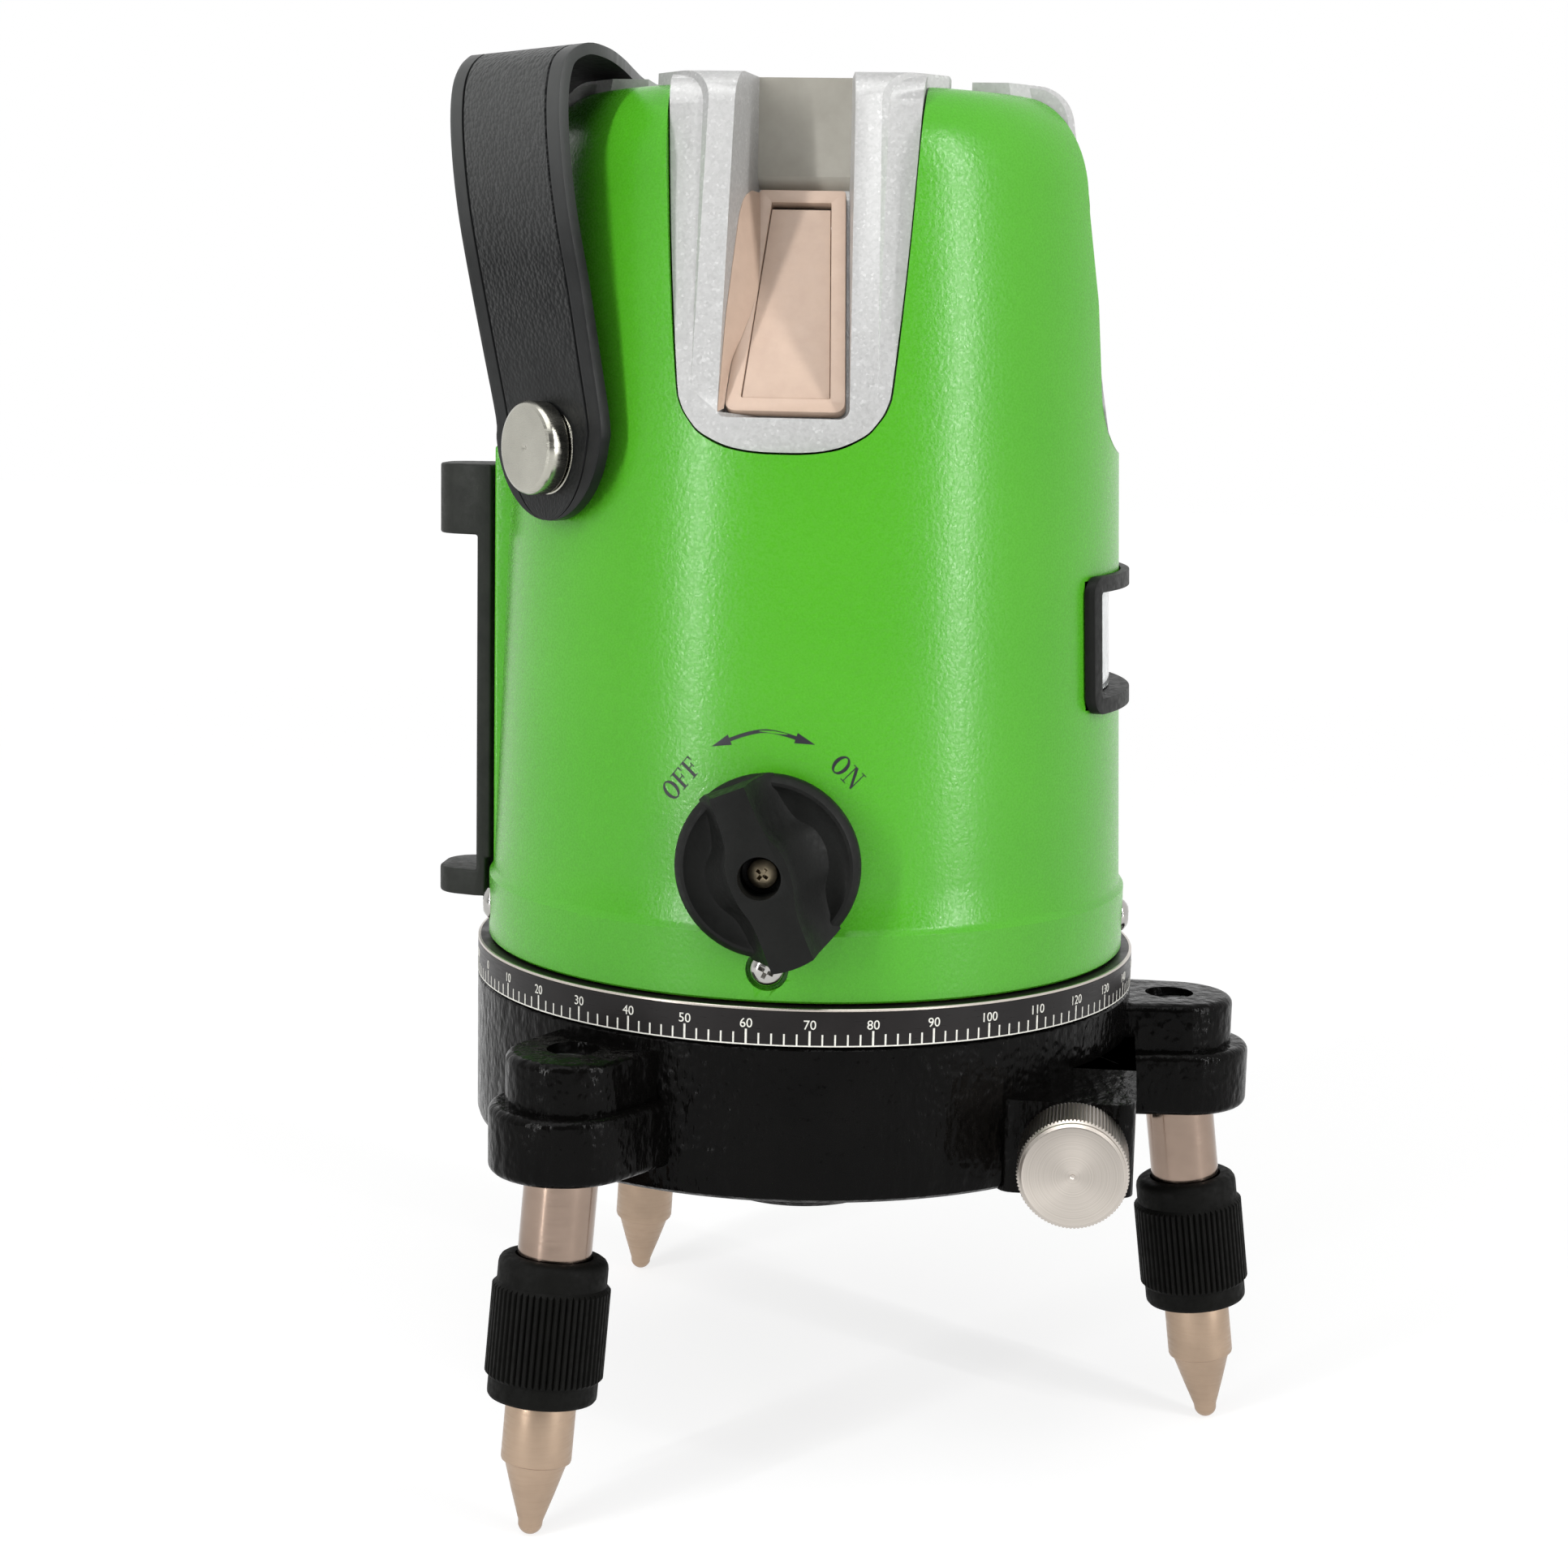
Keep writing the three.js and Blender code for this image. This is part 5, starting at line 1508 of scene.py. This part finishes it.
def makeFineKnob():
    f = fineKnob
    ribs = slab("fine_turn_knob", ridgedOutline(f["radius"], f["depth"], f["ridges"], 0.36), f["back"] + 0.9,
                f["face"] - 0.9)
    body = turned("body", [
        (0, f["back"]), (7.6, f["back"]), (7.9, f["back"] + 0.4), (7.9, f["back"] + 1.4), (7.7, f["back"] + 1.6),
        (7.7, f["face"] - 1.5), (8.0, f["face"] - 1.0), (8.0, f["face"] - 0.45), (7.6, f["face"] - 0.05),
        (7.4, f["face"]), (0.4, f["face"]), (0.25, f["face"] - 0.12), (0, f["face"] - 0.15),
    ], 128)
    cone = turned("cone", [
        (0, f["back"] + 0.5), (f["radius"] - 0.5, f["back"] + 0.5), (f["radius"] + 0.1, f["back"] + 1.4),
        (f["radius"] + 0.1, f["face"] - 1.5), (f["radius"] - 0.45, f["face"] - 0.85), (0, f["face"] - 0.85),
    ], 128)
    combine(ribs, cone, "INTERSECT")
    combine(ribs, body, "UNION")
    combine(ribs, peg("bore", 3.3, 40, 52.4, 48))
    smooth(ribs, 28)
    moveBy(ribs, shift(worm["x"], 0, worm["z"]) @ toFront())
    fit(ribs, "fine_drive", "aluminium", finish["aluminium"], "fine_knob")


makeFineKnob()
print("fine knob made")


# levelling legs

sleeve = {"radius": 8.4, "ridge": 9.05, "root": 8.6, "ridges": 56, "bottom": -32.2, "top": -10.2,
          "knurl": (-29.1, -14.2)}


def makeLegs():
    shaft = turned("leg", [
        (0, -23.5), (leg["shaft"] - 0.3, -23.5), (leg["shaft"], -23.2), (leg["shaft"], 11), (leg["shaft"] - 0.5, 11.5),
        (0, 11.5),
    ], 96)
    smooth(shaft)
    r, low, top = sleeve["radius"], sleeve["bottom"], sleeve["top"]
    barrel = turned("sleeve", [
        (5.95, -28.2), (5.75, -28.2), (5.75, low), (7.7, low), (8.1, low + 0.15), (8.35, low + 0.5), (r, low + 0.9),
        (r, top - 1.5), (8.3, top - 0.95), (8.0, top - 0.45), (7.5, top - 0.12), (6.9, top), (5.95, top),
    ], 112)
    ribs = slab("ribs", ridgedOutline(sleeve["ridge"], sleeve["ridge"] - sleeve["root"], sleeve["ridges"], 0.42),
                *sleeve["knurl"])
    cone = turned("cone", [
        (0, -29.1), (8.3, -29.1), (9.1, -28.3), (9.1, -15.0), (8.3, -14.2), (0, -14.2),
    ], 112)
    combine(ribs, cone, "INTERSECT")
    combine(ribs, peg("bore", 8.0, -32, -12, 96))
    combine(barrel, ribs, "UNION")
    softEdges(barrel, 0.12, 2, 30)
    foot = turned("foot", [
        (0, -14), (3, -14), (3, -30.5), (5.0, -30.5), (5.3, -30.7), (5.4, -31.1), (5.4, -41.5), (5.3, -41.8), (5.05, -41.95),
        (4.8, -42.05), (4.7, -42.3), (3.3, -46.9), (1.9, -51.2), *arcPoints(0, -51.5, 1.9, 1.9, -15, -90, 8),
    ], 96)
    smooth(foot, 20)
    screw = turned("screw", [
        (0, 4), (2, 4), (2, 17.6), (3.5, 17.6), (3.6, 17.7), (3.6, 19.6), (3.4, 20.0), (3.1, 20.2), (1.9, 20.2),
        (0, 20.2),
    ], 64)
    combine(screw, peg("socket", 1.6, 18.4, 22, 6))
    softEdges(screw, 0.08, 2, 30)
    for index in range(3):
        number = str(index + 1)
        place = onLeg(index)
        fit(moveBy(copyPiece(shaft, "leg_tube_" + number), place), "base", "nickel", finish["legNickel"],
            "leg_shaft_" + number)
        fit(moveBy(copyPiece(barrel, "ribbed_sleeve_" + number), place), "sleeve_" + number, "black_rubber",
            finish["rubber"], "levelling_sleeve_" + number)
        fit(moveBy(copyPiece(foot, "pointed_foot_" + number), place), "foot_" + number, "nickel",
            finish["footSteel"], "foot_" + number)
        fit(moveBy(copyPiece(screw, "socket_screw_" + number), place), "base", "steel", finish["steel"],
            "lug_screw_" + number)
    for part in (shaft, barrel, foot, screw):
        bpy.data.objects.remove(part)


makeLegs()
print("legs made")


# words and arrow printed round the switch

prints = {
    "proud": 0.03,
    "deep": 0.12,
    "letterHigh": 3.0,
    "words": [("OFF", -15.8, 115.5, 50), ("ON", 12.5, 117.6, -45)],  # azimuth, height, lean
    "arrow": [(-10.4, 120.7), (-1.6, 123.4), (7.0, 121.6)],
    "line": 0.55,
    "barb": 2.4,
}


def letterO():
    outer = arcPoints(1.15, 1.5, 1.15, 1.55, 0, 360, 32)[:-1]
    inner = arcPoints(1.15, 1.5, 0.62, 1.33, 0, 360, 32)[:-1]
    return [outer], [inner], 2.3


def letterF():
    strokes = [
        [(0.35, 0), (0.83, 0), (0.83, 3), (0.35, 3)],
        [(0, 0), (1.2, 0), (1.2, 0.14), (0, 0.14)],
        [(0, 2.86), (2.0, 2.86), (2.0, 3), (0, 3)],
        [(1.86, 2.2), (2.0, 2.2), (2.0, 3), (1.7, 2.9)],
        [(0.8, 1.5), (1.55, 1.5), (1.55, 1.65), (0.8, 1.65)],
        [(1.42, 1.15), (1.56, 1.15), (1.56, 2.0), (1.42, 2.0)],
    ]
    return strokes, [], 2.1


def letterN():
    strokes = [
        [(0.42, 0), (0.56, 0), (0.56, 3), (0.42, 3)],
        [(2.06, 0), (2.2, 0), (2.2, 3), (2.06, 3)],
        [(0.3, 3), (0.85, 3), (2.2, 0.35), (2.2, 0), (1.98, 0), (0.42, 2.85)],
        [(0.05, 0), (0.93, 0), (0.93, 0.14), (0.05, 0.14)],
        [(0, 2.86), (0.8, 2.86), (0.8, 3), (0, 3)],
        [(1.68, 2.86), (2.56, 2.86), (2.56, 3), (1.68, 3)],
    ]
    return strokes, [], 2.6


def wrapOnBody(piece, azimuth, height, lean):
    # bends a thin flat print drawn round the origin on to the tapered body
    for point in piece.data.vertices:
        flat = point.co / mm
        angle = math.radians(lean)
        x = flat.x * math.cos(angle) - flat.y * math.sin(angle)
        z = height + flat.x * math.sin(angle) + flat.y * math.cos(angle)
        reach = bodyRadius(z) + flat.z
        around = math.radians(azimuth) + x / bodyRadius(height)
        point.co = Vector((reach * math.sin(around), -reach * math.cos(around), z)) * mm
    pick(piece)
    return piece


def finePrint(name, outlines, holes):
    deep, proud = prints["deep"], prints["proud"]
    whole = None
    for outline in outlines:
        part = slab(name, outline, -deep, proud)
        whole = combine(whole, part, "UNION") if whole else part
    for outline in holes:
        combine(whole, slab("hole", outline, -deep - 1, proud + 1))
    return whole


def makeWords():
    letters = {"O": letterO, "F": letterF, "N": letterN}
    for word, azimuth, height, lean in prints["words"]:
        shapes = [letters[letter]() for letter in word]
        gap = 0.22
        total = sum(width for _, _, width in shapes) + gap * (len(shapes) - 1)
        start = -total / 2
        for i, (outlines, holes, width) in enumerate(shapes):
            letter = finePrint(f"print_{word}_{i + 1}", outlines, holes)
            moveBy(letter, shift(start, -prints["letterHigh"] / 2, 0))
            wrapOnBody(letter, azimuth, height, lean)
            fit(letter, "head", "green_paint", finish["blackInk"])
            start += width + gap


def makeArrow():
    spots = [Vector((math.radians(a) * bodyRadius(z), z)) for a, z in prints["arrow"]]
    left, top, right = spots
    line = [Vector(p) for p in roundLine([tuple(left), tuple(top), tuple(right)], 12)]
    half = prints["line"] / 2
    upper, lower = [], []
    for i, place in enumerate(line[3:-3], 3):
        along = (line[i + 1] - line[i - 1]).normalized()
        across = Vector((-along.y, along.x)) * half
        upper.append(tuple(place + across))
        lower.append(tuple(place - across))
    centre = tuple(top)
    shapes = [upper + lower[::-1]]
    for tip, inner in ((line[0], line[4]), (line[-1], line[-5])):
        along = (inner - tip).normalized()
        across = Vector((-along.y, along.x)) * 0.82
        root = tip + along * prints["barb"] * 1.25
        shapes.append([tuple(tip), tuple(root + across), tuple(root - across)])
    shifted = [[(x - centre[0], y - centre[1]) for x, y in shape] for shape in shapes]
    arrow = finePrint("print_arrow", shifted, [])
    azimuth = math.degrees(centre[0] / bodyRadius(centre[1]))
    wrapOnBody(arrow, azimuth, centre[1], 0)
    fit(arrow, "head", "green_paint", finish["blackInk"])


makeWords()
makeArrow()
print("words and arrow made")
